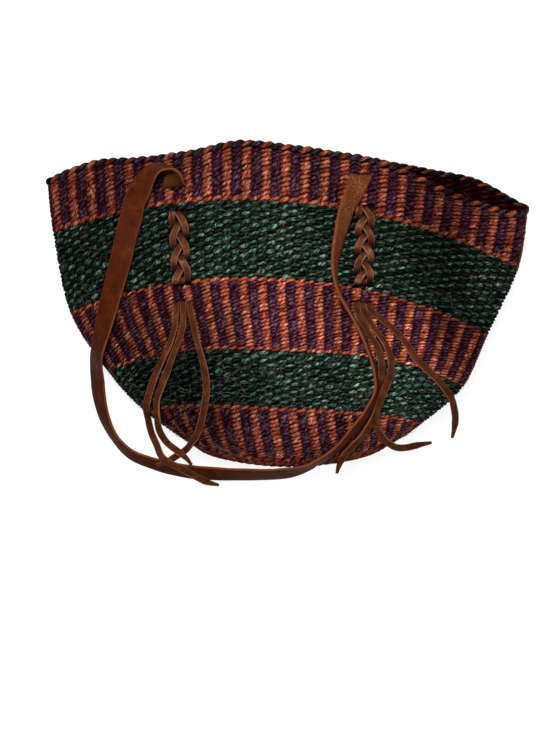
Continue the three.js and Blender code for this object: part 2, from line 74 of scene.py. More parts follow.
camera_data = bpy.data.cameras.new("overhead_camera")
camera = bpy.data.objects.new("overhead_camera", camera_data)
bpy.context.scene.collection.objects.link(camera)
camera.location = (
    (PHOTO_WIDTH / 2 - PHOTO_CENTRE[0]) * PIXEL,
    (PHOTO_CENTRE[1] - PHOTO_HEIGHT / 2) * PIXEL,
    FOCUS_HEIGHT + CAMERA_HEIGHT,
)
camera_data.lens = camera_data.sensor_width * CAMERA_HEIGHT / (PHOTO_HEIGHT * PIXEL)
bpy.context.scene.camera = camera
print("lens, mm:", round(camera_data.lens, 1))

# %% [markdown]
# ## The shape of the bag
#
# A twined bag is built of rows, one over the other. A handful of rows are measured where the colour
# changes, and the rows between are blended from them, so the same table that shapes the solids also
# carries the yarn here. `row` counts from the mouth to the middle of the base, and `turn` goes once
# round the bag, from its right fold over the front.

# %% Measured rows
BAG_WIDTH, BAG_HEIGHT, BAG_THICKNESS = 430.0, 288.5, 74.0
BAG_BOTTOM = -139.0  # Y of the base
WALL = 4.5  # mm thick
RIM = 7.0  # mm, across the rolled edge
FOLD = 2.3  # how square a section is: 2 is an oval, and more has tighter folds
BASE_ROW = 5  # of the table, where the base starts
# left, its Y, right, its Y, rise of the arch, its squareness, back and front, as shares of the bag
ROW_SHARES = np.array([
    [-0.504, 0.884, 0.502, 0.78, 0.164, 2, 0.02, 0.5],
    [-0.488, 0.72, 0.477, 0.61, 0.146, 2, 0.14, 0.64],
    [-0.45, 0.473, 0.412, 0.405, 0.137, 2.2, 0.13, 0.8],
    [-0.37, 0.29, 0.359, 0.244, 0.088, 3.2, 0.1, 0.93],
    [-0.301, 0.177, 0.276, 0.134, 0.03, 4, 0.05, 0.97],
    [-0.21, 0.076, 0.221, 0.076, -0.046, 2, -0.065, 0.78],
    [-0.146, 0.026, 0.152, 0.026, -0.024, 2, 0.1, 0.6],
    [0.005, 0, 0.005, 0, 0, 2, 0.36, 0.36],
])
LAST_ROW = len(ROW_SHARES) - 1
# at even steps across the mouth: how far its edge lies above its arch, and how far the front sags
# below the back
MOUTH_SHARES = np.array([
    [0.011, 0], [0.021, 0.009], [-0.005, 0.007], [-0.008, 0.006], [0.014, 0.006], [0.006, 0.007],
    [0.008, 0.014], [0.015, 0.02], [0.0295, 0.067], [0.053, 0.125], [0.037, 0.125],
])


def blended(table, place):
    """The values at any place between the entries of a table, along a smooth curve through them."""
    last = len(table) - 1
    i = np.clip(np.floor(place).astype(int), 0, last - 1)
    t = (place - i)[..., None]
    a, b, c, d = (table[np.clip(i + k, 0, last)] for k in (-1, 0, 1, 2))
    slope_b, slope_c = (c - a) / 2, (d - b) / 2
    cubic = 2 * (b - c) + slope_b + slope_c
    square = 3 * (c - b) - 2 * slope_b - slope_c
    return np.moveaxis(((cubic * t + square) * t + slope_b) * t + b, -1, 0)


print("measured rows:", LAST_ROW + 1, "and steps across the mouth:", len(MOUTH_SHARES))

# %% Points of the wall
def row_y(shares, row, across, on_front):
    left, left_y, right, right_y, rise, arch, back, front = shares
    straight = left_y + (right_y - left_y) * (across + 1) / 2
    arched = straight + rise * (1 - np.abs(across) ** arch)
    above, sag = blended(MOUTH_SHARES, (across + 1) / 2 * (len(MOUTH_SHARES) - 1))
    near = np.clip(row, 0, 1)
    waved = (above - sag * on_front) * (1 - near**2 * (3 - 2 * near))
    return BAG_BOTTOM + BAG_HEIGHT * (arched + waved)


def signed_power(value, power):
    return np.sign(value) * np.abs(value) ** power


def proud_at(across):
    """How far a section of the bag stands out in front, as a share, at a place across it."""
    return (1 - np.minimum(np.abs(across), 1) ** FOLD) ** (1 / FOLD)


def wall_point(row, turn, inset=0.0):
    """A point of the wall, inset from its outer face."""
    row, turn = np.broadcast_arrays(np.asarray(row, float), np.asarray(turn, float))
    shares = blended(ROW_SHARES, row)
    left, _, right, _, _, _, back, front = shares
    across = signed_power(np.cos(2 * np.pi * turn), 2 / FOLD)
    proud = signed_power(np.sin(2 * np.pi * turn), 2 / FOLD)
    x = (left + right) / 2 * BAG_WIDTH + ((right - left) / 2 * BAG_WIDTH - inset) * across
    y = row_y(shares, row, across, np.maximum(0, proud))
    z = (front + back) / 2 * BAG_THICKNESS + ((front - back) / 2 * BAG_THICKNESS - inset) * proud
    return np.stack([x, y, np.maximum(z, inset)], axis=-1)


def bag_face(x, y, side):
    """Height of the outer face over a place, front (1) or back (-1), and nan beside the bag."""
    x, y = np.broadcast_arrays(np.asarray(x, float), np.asarray(y, float))
    low, high = np.zeros(x.shape), np.full(x.shape, float(LAST_ROW))
    while np.max(high - low) > 1e-4:
        row = (low + high) / 2
        shares = blended(ROW_SHARES, row)
        left, _, right, _, _, _, back, front = shares
        across = (x / BAG_WIDTH - (left + right) / 2) / np.maximum((right - left) / 2, 1e-6)
        on_front = proud_at(across) * (side > 0)
        above = row_y(shares, row, np.clip(across, -1, 1), on_front) > y
        low, high = np.where(above, row, low), np.where(above, high, row)
    z = BAG_THICKNESS * ((front + back) / 2 + side * (front - back) / 2 * proud_at(across))
    return np.where(np.abs(across) >= 1, np.nan, np.maximum(z, 0))


def face_height(x, y, side):
    return np.nan_to_num(bag_face(x, y, side))


top_of_mouth = wall_point(0, 0.25)
print("middle of the mouth's front edge, mm:", top_of_mouth.round(1))

# %% [markdown]
# ## Meshes from rings
#
# Yarn, rope and leather are all the same kind of form: a closed outline carried along a path. One helper
# takes the finished rings of points and joins them, so each piece is only a matter of where its rings
# lie. Small notes are kept on every point for the finishes: how far along the piece it is, how far round
# it, a number that differs from stitch to stitch, and how deep in the weave the point lies.

# %% Joining rings
def link(obj):
    bpy.context.scene.collection.objects.link(obj)
    return obj


def unit(vectors):
    return vectors / np.maximum(np.linalg.norm(vectors, axis=-1, keepdims=True), 1e-9)


def keep_notes(mesh, name, kind, key, values):
    attribute = mesh.attributes.new(name, kind, "POINT")
    attribute.data.foreach_set(key, np.ascontiguousarray(values, np.float32).ravel())


def ring_mesh(name, rings, notes, closed=False, note_name="lie"):
    """Rings of points, (runs, rings, points, 3) in mm, joined into one mesh. Closed runs go round."""
    runs, count, sides, _ = rings.shape
    pressed = np.maximum(rings[..., 2:], 0)  # the ground presses it flat
    rings = np.concatenate([rings[..., :2], pressed], axis=-1)
    spokes = rings - rings.mean(2, keepdims=True)
    run = np.roll(rings.mean(2), -1, 1) - rings.mean(2)
    swept = np.cross(spokes, np.roll(spokes, -1, 2)).sum(2)
    if (swept * run)[:, :-1].sum() > 0:  # the outlines turn the wrong way for faces that point out
        rings, notes = rings[:, :, ::-1], notes[:, :, ::-1]
    at = np.arange(runs * count * sides).reshape(runs, count, sides)
    ahead = np.roll(at, -1, axis=1) if closed else at[:, 1:]
    here = at if closed else at[:, :-1]
    quads = np.stack([here, np.roll(here, -1, 2), np.roll(ahead, -1, 2), ahead], axis=-1)
    faces = quads.reshape(-1, 4).tolist()
    if not closed:
        faces += at[:, 0, ::-1].tolist() + at[:, -1].tolist()
    mesh = bpy.data.meshes.new(name)
    mesh.from_pydata((rings.reshape(-1, 3) * MM).tolist(), [], faces)
    mesh.polygons.foreach_set("use_smooth", np.ones(len(faces), bool))
    keep_notes(mesh, note_name, "FLOAT_VECTOR", "vector", notes[..., :3])
    if notes.shape[-1] > 3:
        keep_notes(mesh, "out", "FLOAT", "value", notes[..., 3])
    mesh.validate()
    return link(bpy.data.objects.new(name, mesh))


def oval_rings(path, edge, face, half_edge, half_face, angles):
    """Rings of an oval outline along paths, its two half sizes laid along two directions."""
    across, deep = half_edge * np.cos(angles), half_face * np.sin(angles)
    return (path[..., None, :] + edge[..., None, :] * across[..., None]
            + face[..., None, :] * deep[..., None])


def yarn_rings(path, out, half_height, half_depth, angles):
    """Rings of a closed yarn along its path, and how far along each ring is."""
    run = unit(np.roll(path, -1, -2) - np.roll(path, 1, -2))
    edge = unit(np.cross(out, run))
    rings = oval_rings(path, edge, np.cross(run, edge), half_height, half_depth, angles)
    return rings, np.cumsum(np.linalg.norm(np.roll(path, -1, -2) - path, axis=-1), axis=-1)


def stacked(*notes):
    return np.stack(np.broadcast_arrays(*notes), axis=-1)


print("a mesh is a row of rings, with its notes on each point")

# %% [markdown]
# ## Shader sums
#
# A finish is a small calculation over the surface. Wrapping a socket in a class with operators lets that
# calculation be written as it would be on paper, and the Math nodes are made as the expression runs.

# %% Signals
class Signal:
    """A shader socket that can be used in sums."""

    def __init__(self, nodes, socket):
        self.nodes, self.socket = nodes, socket

    def maths(self, operation, first, second):
        return self.nodes.node("ShaderNodeMath", {"operation": operation}, {0: first, 1: second})

    def __add__(self, other):
        return self.maths("ADD", self, other)

    def __radd__(self, other):
        return self.maths("ADD", other, self)

    def __sub__(self, other):
        return self.maths("SUBTRACT", self, other)

    def __rsub__(self, other):
        return self.maths("SUBTRACT", other, self)

    def __mul__(self, other):
        return self.maths("MULTIPLY", self, other)


print("a signal can be added, taken away and multiplied")

# %% Nodes
class Nodes:
    """A tree of shader nodes, and short ways to add the kinds that are used here."""

    def __init__(self, tree):
        self.tree = tree

    def join(self, value, socket):
        if isinstance(value, Signal):
            self.tree.links.new(value.socket, socket)
        elif hasattr(socket.default_value, "__len__") and len(socket.default_value) == 4:
            socket.default_value = (*value[:3], 1)
        else:
            socket.default_value = value

    def node(self, kind, settings=None, sockets=None, output=0):
        """Any node: its type, its settings, and the values or links of its sockets."""
        made = self.tree.nodes.new(kind)
        for key, value in (settings or {}).items():
            if key == "stops":
                ramp = made.color_ramp
                while len(ramp.elements) < len(value):
                    ramp.elements.new(1)
                for element, (place, shade) in zip(ramp.elements, value):
                    element.position, element.color = place, (*shade, 1)
            else:
                setattr(made, key, value)
        for key, value in (sockets or {}).items():
            self.join(value, made.inputs[key])
        return Signal(self, made.outputs[output])

    def notes(self, name):
        """The three numbers kept on each point of a mesh."""
        vector = self.node("ShaderNodeAttribute", {"attribute_name": name}, output="Vector")
        return [self.node("ShaderNodeSeparateXYZ", None, {0: vector}, output=k) for k in range(3)]

    def out_note(self):
        """How far out of the shade each point lies, from 0 to 1."""
        return self.node("ShaderNodeAttribute", {"attribute_name": "out"}, output="Fac")

    def on_object(self):
        return self.node("ShaderNodeTexCoord", output="Object")

    def vector(self, operation, *values, output="Vector"):
        return self.node("ShaderNodeVectorMath", {"operation": operation}, dict(enumerate(values)), output)

    def away(self, where, centre, half_size):
        """How far a place is from the centre of an upright oval, as a share of the oval's size."""
        offset = self.vector("SUBTRACT", where, (*centre, 0))
        shares = self.vector("MULTIPLY", offset, (1 / half_size[0], 1 / half_size[1], 0))
        return self.vector("LENGTH", shares, output="Value")

    def between(self, value, low, high, way="LINEAR"):
        """0 up to low and 1 from high on."""
        return self.node("ShaderNodeMapRange", {"interpolation_type": way}, {0: value, 1: low, 2: high})

    def noise(self, vector, scale, detail=2.0, roughness=0.5):
        return self.node(
            "ShaderNodeTexNoise", None,
            {"Vector": vector, "Scale": scale, "Detail": detail, "Roughness": roughness})

    def place(self, x, y, z=0.0):
        return self.node("ShaderNodeCombineXYZ", None, {0: x, 1: y, 2: z})

    def ramp(self, factor, *stops):
        return self.node("ShaderNodeValToRGB", {"stops": stops}, {0: factor})

    def mix(self, factor, first, second, blend="MIX"):
        """Mixes two colours. Sockets 6 and 7 of a colour Mix are its A and B, and 2 is its result."""
        return self.node(
            "ShaderNodeMix", {"data_type": "RGBA", "blend_type": blend},
            {0: factor, 6: first, 7: second}, output=2)

    def bump(self, height, strength, distance):
        return self.node(
            "ShaderNodeBump", None, {"Height": height, "Strength": strength, "Distance": distance})

    def seen_straight(self):
        """1 where the camera looks, straight or in gloss or glass, and 0 for the light that things get."""
        kinds = ("Is Camera Ray", "Is Glossy Ray", "Is Transmission Ray")
        straight, glossy, through = (self.node("ShaderNodeLightPath", output=kind) for kind in kinds)
        return self.node(
            "ShaderNodeMath", {"operation": "MINIMUM"}, {0: straight + glossy + through, 1: 1.0})


print("short names for nodes:", [name for name in vars(Nodes) if not name.startswith("_")])

# %% Finishes
class Finish(Nodes):
    """A material and the nodes that shape it."""

    def __init__(self, name):
        self.material = bpy.data.materials.new(name)
        self.material.use_nodes = True
        super().__init__(self.material.node_tree)
        self.shader = self.tree.nodes["Principled BSDF"]

    def set(self, **sockets):
        for key, value in sockets.items():
            self.join(value, self.shader.inputs[key.replace("_", " ")])


def colour(red, green, blue):
    """A colour as it is read off a screen, turned into the light that a shader works in."""
    shares = [v / 255 for v in (red, green, blue)]
    return tuple(v / 12.92 if v <= 0.04045 else ((v + 0.055) / 1.055) ** 2.4 for v in shares)


def finished(obj, finish, body="bag", nodes=()):
    """Gives a piece its finish and its place in the frame."""
    obj.data.materials.clear()
    obj.data.materials.append(finish.material)
    if body:
        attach(obj, body)
    if nodes:
        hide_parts(*nodes)
    return obj


print("half a screen's white is really", round(colour(128, 128, 128)[0], 2), "of its light")

# %% [markdown]
# ## Sisal
#
# Sisal is a coarse leaf fibre, dyed and rolled into yarn on the thigh. Close to, a yarn is a bundle of
# glossy straw-like fibres that run along it at a slight twist, each taking the dye a little differently.
# Noise stretched along the yarn gives the fibres, in the colour and in the bump, and the number kept for
# each stitch shifts its shade, so no two stitches are the same. Light and shade over the bag's form are
# painted into the yarn's colour too: it is painted palest where it is fullest, darker towards its folds,
# and lighter or darker in a few places between. Ovals laid over the bag give that painted light and
# shade, and they belong to the bag, so they stay where they are from any side.

# %% Painted light and shade
# painted light and shade over the bag's form: the middle and half size of an oval, in metres, and the
# shade at shares of the way out from its middle, lightest at the middle and darkest towards the folds
WHOLE_BAG = ((0.0, 0.0), (0.2, 0.25))
PAINTED_FALLOFF = [(0.05, (1.5, 1.5, 1.52)), (0.44, (1.0, 1.0, 1.0)), (0.64, (0.74, 0.72, 0.72)),
          (0.9, (0.56, 0.53, 0.53))]
# more ovals, of painted light (+) and painted shade (-), and how strong each is at its middle
LIGHT_AND_SHADE_PATCHES = [
    ((-0.084, -0.068), (0.067, 0.077), -0.74), ((0.1, -0.055), (0.046, 0.052), 1.0),
    ((0.135, 0.042), (0.028, 0.085), -0.6), ((0.186, 0.07), (0.022, 0.055), 0.5),
]
PATCH_FADE_REACH = 1.5  # sizes of its oval, over which each painted patch fades


def painted_falloff_by_place(finish, where):
    return finish.ramp(finish.away(where, *WHOLE_BAG), *PAINTED_FALLOFF)


def painted_patches_by_place(finish, where):
    """The painted light and shade at a place on the bag, as a share of the yarn's usual colour."""
    level = 1.0
    for centre, half_size, strength in LIGHT_AND_SHADE_PATCHES:
        away = finish.away(where, centre, half_size)
        level = level + finish.between(away, PATCH_FADE_REACH, 0.0, "SMOOTHSTEP") * strength
    return level


# these places are patches of painted light and shade
print("places worn more or less than the rest:", len(LIGHT_AND_SHADE_PATCHES))

# %% Yarn finish
FIBRE_LENGTH = 4.0  # mm, of a streak along the yarn
FIBRES_ROUND = 9.0  # streaks round a yarn
FIBRE_TURN = 0.055  # turns to a mm that the fibres take round the yarn
PLY_TURN = 0.1  # turns to a mm that its two plies take
PATCH_SCALE = 28.0  # patches of stronger and weaker dye, to a metre
DYE_STOPS = (0.35, 0.5, 0.66)  # of the fibres' noise, for deep, plain and pale fibres; the pale ones are also painted glints
TINTED = 0.62  # of their brightness, left to the stitches that lean to the tint
SHADES = [(0.35, (0.8, 0.8, 0.8)), (0.7, (1, 1, 1)), (1.0, (1.25, 1.2, 1.12))]  # of other stitches
PATCHES = [(0.3, (0.72, 0.74, 0.78)), (0.55, (1, 1, 1)), (0.75, (1.15, 1.12, 1.05))]
PLY_CREASE_SHADE = [(0.0, (0.45, 0.4, 0.4)), (0.16, (1, 1, 1))]  # painted shade in the crease between the plies
# painted shade half way out of the wall, rising to a painted highlight on the top of each stitch
PAINTED_CREST_LIGHT = [(0.5, (0.68, 0.64, 0.64)), (0.85, (0.95, 0.95, 0.95)), (1.0, (1.35, 1.38, 1.42))]
PAINTED_HOLLOW_SHADE = (0.12, 0.82)  # how far out of the wall the painted shade gives way to the yarn's own colour
FIBRE_BUMP = (0.9, 0.0008)  # strength, and depth in metres
YARN_GLOSS = 0.012  # its glints are painted into the pale fibres, and its mirror gloss is kept low


def yarn_finish(name, deep, plain, pale, hollow_shade, tint=(1.0, 1.0, 1.0)):
    """The fourth colour is painted shade down between the stitches, and tint the colour that every few
    stitches lean to.
    """
    finish = Finish(name)
    along, around, chance = finish.notes("yarn")
    out = finish.out_note()
    streak = finish.place(
        along * (1 / FIBRE_LENGTH), (around + along * FIBRE_TURN) * FIBRES_ROUND, chance * 37)
    fibres = finish.noise(streak, 1.0, detail=3.0, roughness=0.75)
    ply = finish.node(
        "ShaderNodeMath", {"operation": "PINGPONG"}, {0: (around + along * PLY_TURN) * 2, 1: 0.5})
    dyes = zip(DYE_STOPS, (colour(*deep), colour(*plain), colour(*pale)))
    dyed = finish.ramp(fibres, *dyes)
    where = finish.on_object()
    layers = [
        finish.ramp(chance, (0.0, tuple(TINTED * v for v in tint)), *SHADES),
        finish.ramp(finish.noise(where, PATCH_SCALE), *PATCHES),
        # painted shade in the crease between the plies
        finish.ramp(ply, *PLY_CREASE_SHADE),
        # painted light over the bag's middle and painted shade towards its folds
        painted_falloff_by_place(finish, where),
        # painted highlight on each stitch's crest
        finish.ramp(out, *PAINTED_CREST_LIGHT),
        # painted patches of light and shade
        painted_patches_by_place(finish, where),
    ]
    for layer in layers:
        dyed = finish.mix(1.0, dyed, layer, "MULTIPLY")
    finish.set(
        # painted shade down between the stitches
        Base_Color=finish.mix(finish.between(out, *PAINTED_HOLLOW_SHADE), colour(*hollow_shade), dyed),
        Roughness=0.8 - fibres * 0.3,
        Normal=finish.bump(fibres + ply * 1.2, *FIBRE_BUMP),
        Specular_IOR_Level=YARN_GLOSS,
    )
    return finish


# each yarn's fourth colour is the painted shade down between its stitches
brick_yarn = yarn_finish(
    "brick_sisal_yarn", (87, 16, 9), (163, 68, 39), (230, 166, 141), (40, 2, 3), (0.95, 0.62, 0.55))
deep_brick_yarn = yarn_finish(
    "deep_brick_sisal_yarn", (64, 10, 7), (130, 40, 22), (200, 108, 82), (36, 3, 3), (0.9, 0.6, 0.5))
violet_yarn = yarn_finish(
    "violet_sisal_yarn", (30, 3, 11), (51, 16, 36), (128, 92, 114), (36, 1, 6), (1.25, 0.75, 1.0))
green_yarn = yarn_finish(
    "grey_green_sisal_yarn", (4, 16, 10), (24, 57, 43), (146, 184, 162), (1, 6, 4), (0.55, 0.7, 0.75))
black_yarn = yarn_finish(
    "dark_brown_sisal_yarn", (3, 8, 5), (17, 22, 17), (72, 75, 66), (1, 5, 3), (1.4, 1.0, 0.9))
weaving_yarns = (brick_yarn, deep_brick_yarn, violet_yarn, green_yarn, black_yarn)
print("yarn finishes:", [finish.material.name for finish in weaving_yarns])

# %% [markdown]
# ## Twining
#
# In a twined row two yarns travel together round the bag. They twist round each other and take one warp
# into every half turn, so from outside each warp is crossed by one slanting stitch, and the two yarns
# take it in turns. With one brick and one violet yarn and an even number of warps, each colour always
# falls on the same warps, which makes upright stripes. Where the rows start one warp on, the colours
# make a check. The yarns are made as they really run: two tubes on a helix flattened against the wall,
# swelling where they cross a warp and pinched where they pass between two.

# %% Slits
# Where each handle is fastened, at both ends: the strap's slit, the one its thongs come out of, the one
# that the plait ends in and the one that the tails come out of.
FASTENING_SHARES = {
    "left": [(-0.235, 0.857), (-0.225, 0.784), (-0.216, 0.555), (-0.212, 0.504)],
    "right": [(0.154, 0.896), (0.157, 0.799), (0.151, 0.552), (0.152, 0.501)],
}
SLIT_HALVES = (11.0, 10.0, 9.0, 9.0)  # mm, half the width over which each slit parts the rows
PART_REACH = 5.0  # mm, how far from a slit the rows are pushed apart
PART_GAP = 1.1  # mm, how far they are pushed
PART_EDGE = 1.4  # half widths from a slit's middle, where the rows close again
PART_TURN = 1.2  # mm, over which the push changes from down to up


def placed(x_share, y_share):
    return np.array([x_share * BAG_WIDTH, BAG_BOTTOM + y_share * BAG_HEIGHT])


def slit_places(end):
    return [placed(*shares) for shares in FASTENING_SHARES[end]]


def parted(points):
    """Pushes rows of the weave apart where leather passes between them."""
    moved = points.copy()
    for end in FASTENING_SHARES:
        for place, half in zip(slit_places(end), SLIT_HALVES):
            dx, dy = points[..., 0] - place[0], points[..., 1] - place[1]
            inside = np.clip(PART_EDGE - np.abs(dx) / half, 0, 1) * np.exp(-np.abs(dy) / PART_REACH)
            moved[..., 1] += np.tanh(dy / PART_TURN) * PART_GAP * inside
    return moved


for end in FASTENING_SHARES:
    print(end, "slits, mm:", [place.round().tolist() for place in slit_places(end)])

# %% Warps at even steps
def even_turns(row, count=3000):
    """turn as a function of the share of the way round a row, so that warps are evenly spaced."""
    turns = np.linspace(0, 1, count + 1)
    lengths = np.linalg.norm(np.diff(wall_point(row, turns), axis=0), axis=1)
    shares = np.concatenate([[0], np.cumsum(lengths)]) / lengths.sum()
    return lambda share: np.interp(np.mod(share, 1), shares, turns)


def directions(point, row, share, step):
    """Along the row, up and out at places of the wall, where point(row, share) is its outer face."""
    side = unit(point(row, share + 1e-4) - point(row, share - 1e-4))
    up = unit(point(row - step, share) - point(row + step, share))
    return side, up, unit(np.cross(up, side))


print("half way round the second row is turn", round(float(even_turns(1)(0.5)), 3))

# %% Rows of twined yarn
STEPS = 6  # rings of points to each stitch
ROUND = 8  # points round a yarn
YARN_HALF = 1.15  # mm, half a yarn's thickness over a warp
THINNEST = 0.45  # of that, where it passes between two warps
OUTSIDE = 0.22  # by how much a yarn's turn outside the wall is drawn out
LEAN = 0.4  # how far a stitch's crest leans towards its upper end
BEND = 1.8  # how sharply a yarn turns from one side of the wall to the other
INSIDE_SHADE = 0.5  # the inside of the bag is painted darker, as shade: its points count as this much less far out
TALLEST = 5.2  # mm between rows, over which the stitches stop filling the row
SWELL, WANDER, STRAY = 0.09, 0.06, 0.07  # how much stitches differ in size, along the row and up it


def stitch_path(point, rows, warps, column, phase, shown, differs, slant):
    """The middle of a yarn for a number of rows, how deep it lies, and the height of a row there."""
    number = np.broadcast_to(np.arange(rows)[:, None], column.shape)
    share = (column + differs(WANDER) * np.cos(phase) ** 2) / warps
    strayed = differs(STRAY) * np.cos(phase) ** 2
    row = number + 0.5
    _, up, out = directions(point, row, share, 0.5)
    pitch = np.linalg.norm(point(row - 0.5, share) - point(row + 0.5, share), axis=-1)[..., None]
    bent = np.tanh(BEND * shown[..., None]) / np.tanh(BEND)
    rise = 2 / np.pi * np.arcsin(0.96 * np.sin(phase))
    depth = (WALL / 2 - YARN_HALF) * bent - WALL / 2
    path = point(row, share) + out * depth + up * pitch * (strayed[..., None] - slant * rise[..., None])
    return parted(path), out, depth, pitch


def twined_rows(name, point, rows, warps, yarn, staggered=False, slant=0.42, uneven=1.0, height=0.5):
    """One of a row's two yarns, for a number of rows. point(row, share) is a place on the outer face. slant
    and height are a stitch's rise and half its height, as shares of a row."""
    count = warps * STEPS
    column = np.broadcast_to(np.arange(count) / STEPS, (rows, count))
    number = np.broadcast_to(np.arange(rows)[:, None], (rows, count))
    phase = np.pi * (column + (number % 2 if staggered else 0) + yarn)
    crest = np.cos(phase + LEAN * np.cos(phase))
    shown = (crest + OUTSIDE) / (1 + OUTSIDE)
    stitch = np.floor(column + 0.5).astype(int) % warps

    def differs(spread):
        return rng.normal(0, spread * uneven, (rows, warps))[number, stitch]

    chance = rng.random((rows, warps))[number, stitch]
    swell = (1 + differs(SWELL))[..., None]
    path, out, depth, pitch = stitch_path(
        point, rows, warps, column, phase, shown, differs, slant)
    plump = np.sqrt(np.maximum(0, shown))[..., None]  # rises and falls steeply, as an oval stitch does
    half_depth = YARN_HALF * (THINNEST + (1 - THINNEST) * plump) * (0.5 + 0.5 * swell)
    half_height = np.minimum(pitch, TALLEST) * height * (0.42 + 0.6 * plump) * swell
    angles = 2 * np.pi * np.arange(ROUND) / ROUND - np.pi / 2
    rings, along = yarn_rings(path, out, half_height, half_depth, angles)
    around = np.broadcast_to(np.arange(ROUND) / ROUND, (rows, count, ROUND))
    proud = (depth + WALL / 2 + half_depth * np.sin(angles)) / (WALL / 2)
    proud = np.where(proud > 0, proud, -proud * INSIDE_SHADE)
    notes = stacked(along[..., None], around, chance[..., None], proud)
    return ring_mesh(name, rings, notes, closed=True, note_name="yarn")


print("a row's two yarns have", 2 * STEPS * ROUND, "points to each warp")

# %% [markdown]
# ## The bands
#
# From the mouth down: stripes, grey-green check, stripes between two whole rows of brick, check again,
# stripes, and whole rows of brick that turn under into the base. The counts of rows and warps follow the
# photograph: about five millimetres to a row at the top, under four lower down, and warps about nine
# millimetres apart where each band starts.

# %% Where the rolled edge ends
def row_beyond(start, distance):
    """The row that is at least a distance from another, all round the bag."""
    turns = np.linspace(0, 1, 48, endpoint=False)
    near, far = 0.0, 1.0
    while far - near > 1e-5:
        step = (near + far) / 2
        gap = np.linalg.norm(wall_point(start, turns) - wall_point(start + step, turns), axis=-1).min()
        near, far = (step, far) if gap < distance else (near, step)
    return start + far


TUCKED = 0.6  # mm, how far the first row lies under the rolled edge
RIM_ROW = row_beyond(0, RIM / 2)
TOP_START = row_beyond(0, RIM - TUCKED)
print("rolled edge at row", round(RIM_ROW, 3), "and the weave starts at row", round(TOP_START, 3))

# %% Weaving the bands
STRIPES, CHECKS = (brick_yarn, violet_yarn), (green_yarn, black_yarn)
# name, first and last row of the table, rows of yarn, warps, the two yarns, whole rows above and below,
# the slot, how many warps its columns lean by on their way down, and how far they keep from drawing
# together
BANDS = [
    ("top_striped_band", TOP_START, 1, 11, 102, STRIPES, (0, 1), "striped_sisal", 0, 0),
    ("upper_green_band", 1, 2, 19, 106, CHECKS, (0, 0), "green_sisal", 0, 0),
    ("middle_striped_band", 2, 3, 20, 96, STRIPES, (1, 1), "striped_sisal", 0.3, 0.08),
    ("lower_green_band", 3, 4, 15, 86, CHECKS, (0, 0), "green_sisal", 0.5, 0.1),
    ("bottom_striped_band", 4, 5, 14, 68, STRIPES, (1, 0), "striped_sisal", 0.2, 0.36),
]
# the stitches of a check: rows start one warp on, rise less and differ more, and its dark yarn is thinner
CHECKED = {"staggered": True, "slant": 0.26, "uneven": 1.7}
CHECK_HEIGHTS = (0.5, 0.42)


def band_point(start, stop, rows, warps, lean, spread):
    turns = even_turns((start + stop) / 2)

    def point(row, share):
        down = row / rows
        drawn = share + down * (lean / warps - spread * np.sin(4 * np.pi * share) / (4 * np.pi))
        return wall_point(start + (stop - start) * down, turns(drawn))

    return point


def shifted(point, skip):
    return lambda row, share: point(row + skip, share)


for name, start, stop, rows, warps, yarns, whole, slot, lean, spread in BANDS:
    point = band_point(start, stop, rows, warps, lean, spread)
    for k, finish in enumerate(yarns):
        way = {**CHECKED, "height": CHECK_HEIGHTS[k]} if yarns == CHECKS else {}
        label = f"{name}_{finish.material.name}"
        made = twined_rows(label, shifted(point, whole[0]), rows - sum(whole), warps, k, **way)
        finished(made, finish, nodes=[name])
    for place, skip in ((0, 0), (1, rows - 1)):
        for k in range(2 * whole[place]):
            made = twined_rows(f"{name}_whole_row_{place + 1}_{k + 1}", shifted(point, skip), 1, warps, k)
            finished(made, brick_yarn, nodes=[name])
    print(name, rows, "rows of", warps, "stitches")

# %% [markdown]
# ## The base
#
# The weaving starts in the middle of the base and grows outwards in brick yarn. Lying down, the round
# base is pressed into a long oval, so its rows are ovals that draw in by the same step all round, laid
# on the surface that the last measured rows give.

# %% Weaving the base
BASE_ROWS = 8
BASE_WARPS = 50
BASE_REACH = 0.97  # of the way in to the middle that the rows go
HALVINGS = 18  # of the search for a place's row


def base_place(draw, turn):
    """A place on the base, drawn in from its edge by a share of half its thickness."""
    left, _, right, _, _, _, back, front = ROW_SHARES[BASE_ROW]
    half_x, half_z = (right - left) / 2 * BAG_WIDTH, (front - back) / 2 * BAG_THICKNESS
    across = signed_power(np.cos(2 * np.pi * turn), 2 / FOLD)
    proud = signed_power(np.sin(2 * np.pi * turn), 2 / FOLD)
    x = (left + right) / 2 * BAG_WIDTH + (half_x - draw * half_z) * across
    z = (front + back) / 2 * BAG_THICKNESS + half_z * (1 - draw) * proud
    low, high = np.full(x.shape, float(BASE_ROW)), np.full(x.shape, float(LAST_ROW))
    for _ in range(HALVINGS):
        row = (low + high) / 2
        shares = blended(ROW_SHARES, row)
        left, _, right, _, _, _, back, front = shares
        place = (x / BAG_WIDTH - (left + right) / 2) / np.maximum((right - left) / 2, 1e-6)
        height = (z / BAG_THICKNESS - (front + back) / 2) / np.maximum((front - back) / 2, 1e-6)
        inside = np.abs(place) ** FOLD + np.abs(height) ** FOLD < 1
        low, high = np.where(inside, row, low), np.where(inside, high, row)
    y = row_y(shares, row, np.clip(place, -1, 1), 0)
    return np.stack([x, y, np.maximum(z, 0)], axis=-1)


def base_point(row, share):
    row, share = np.broadcast_arrays(row, share)
    return base_place(np.clip(row / BASE_ROWS, 0, 1) * BASE_REACH, even_base(share))


even_base = even_turns(BASE_ROW)
for k in (0, 1):
    made = twined_rows(f"woven_base_yarn_{k + 1}", base_point, BASE_ROWS, BASE_WARPS, k)
    finished(made, deep_brick_yarn, nodes=["woven_base"])
print("base:", BASE_ROWS, "rows")

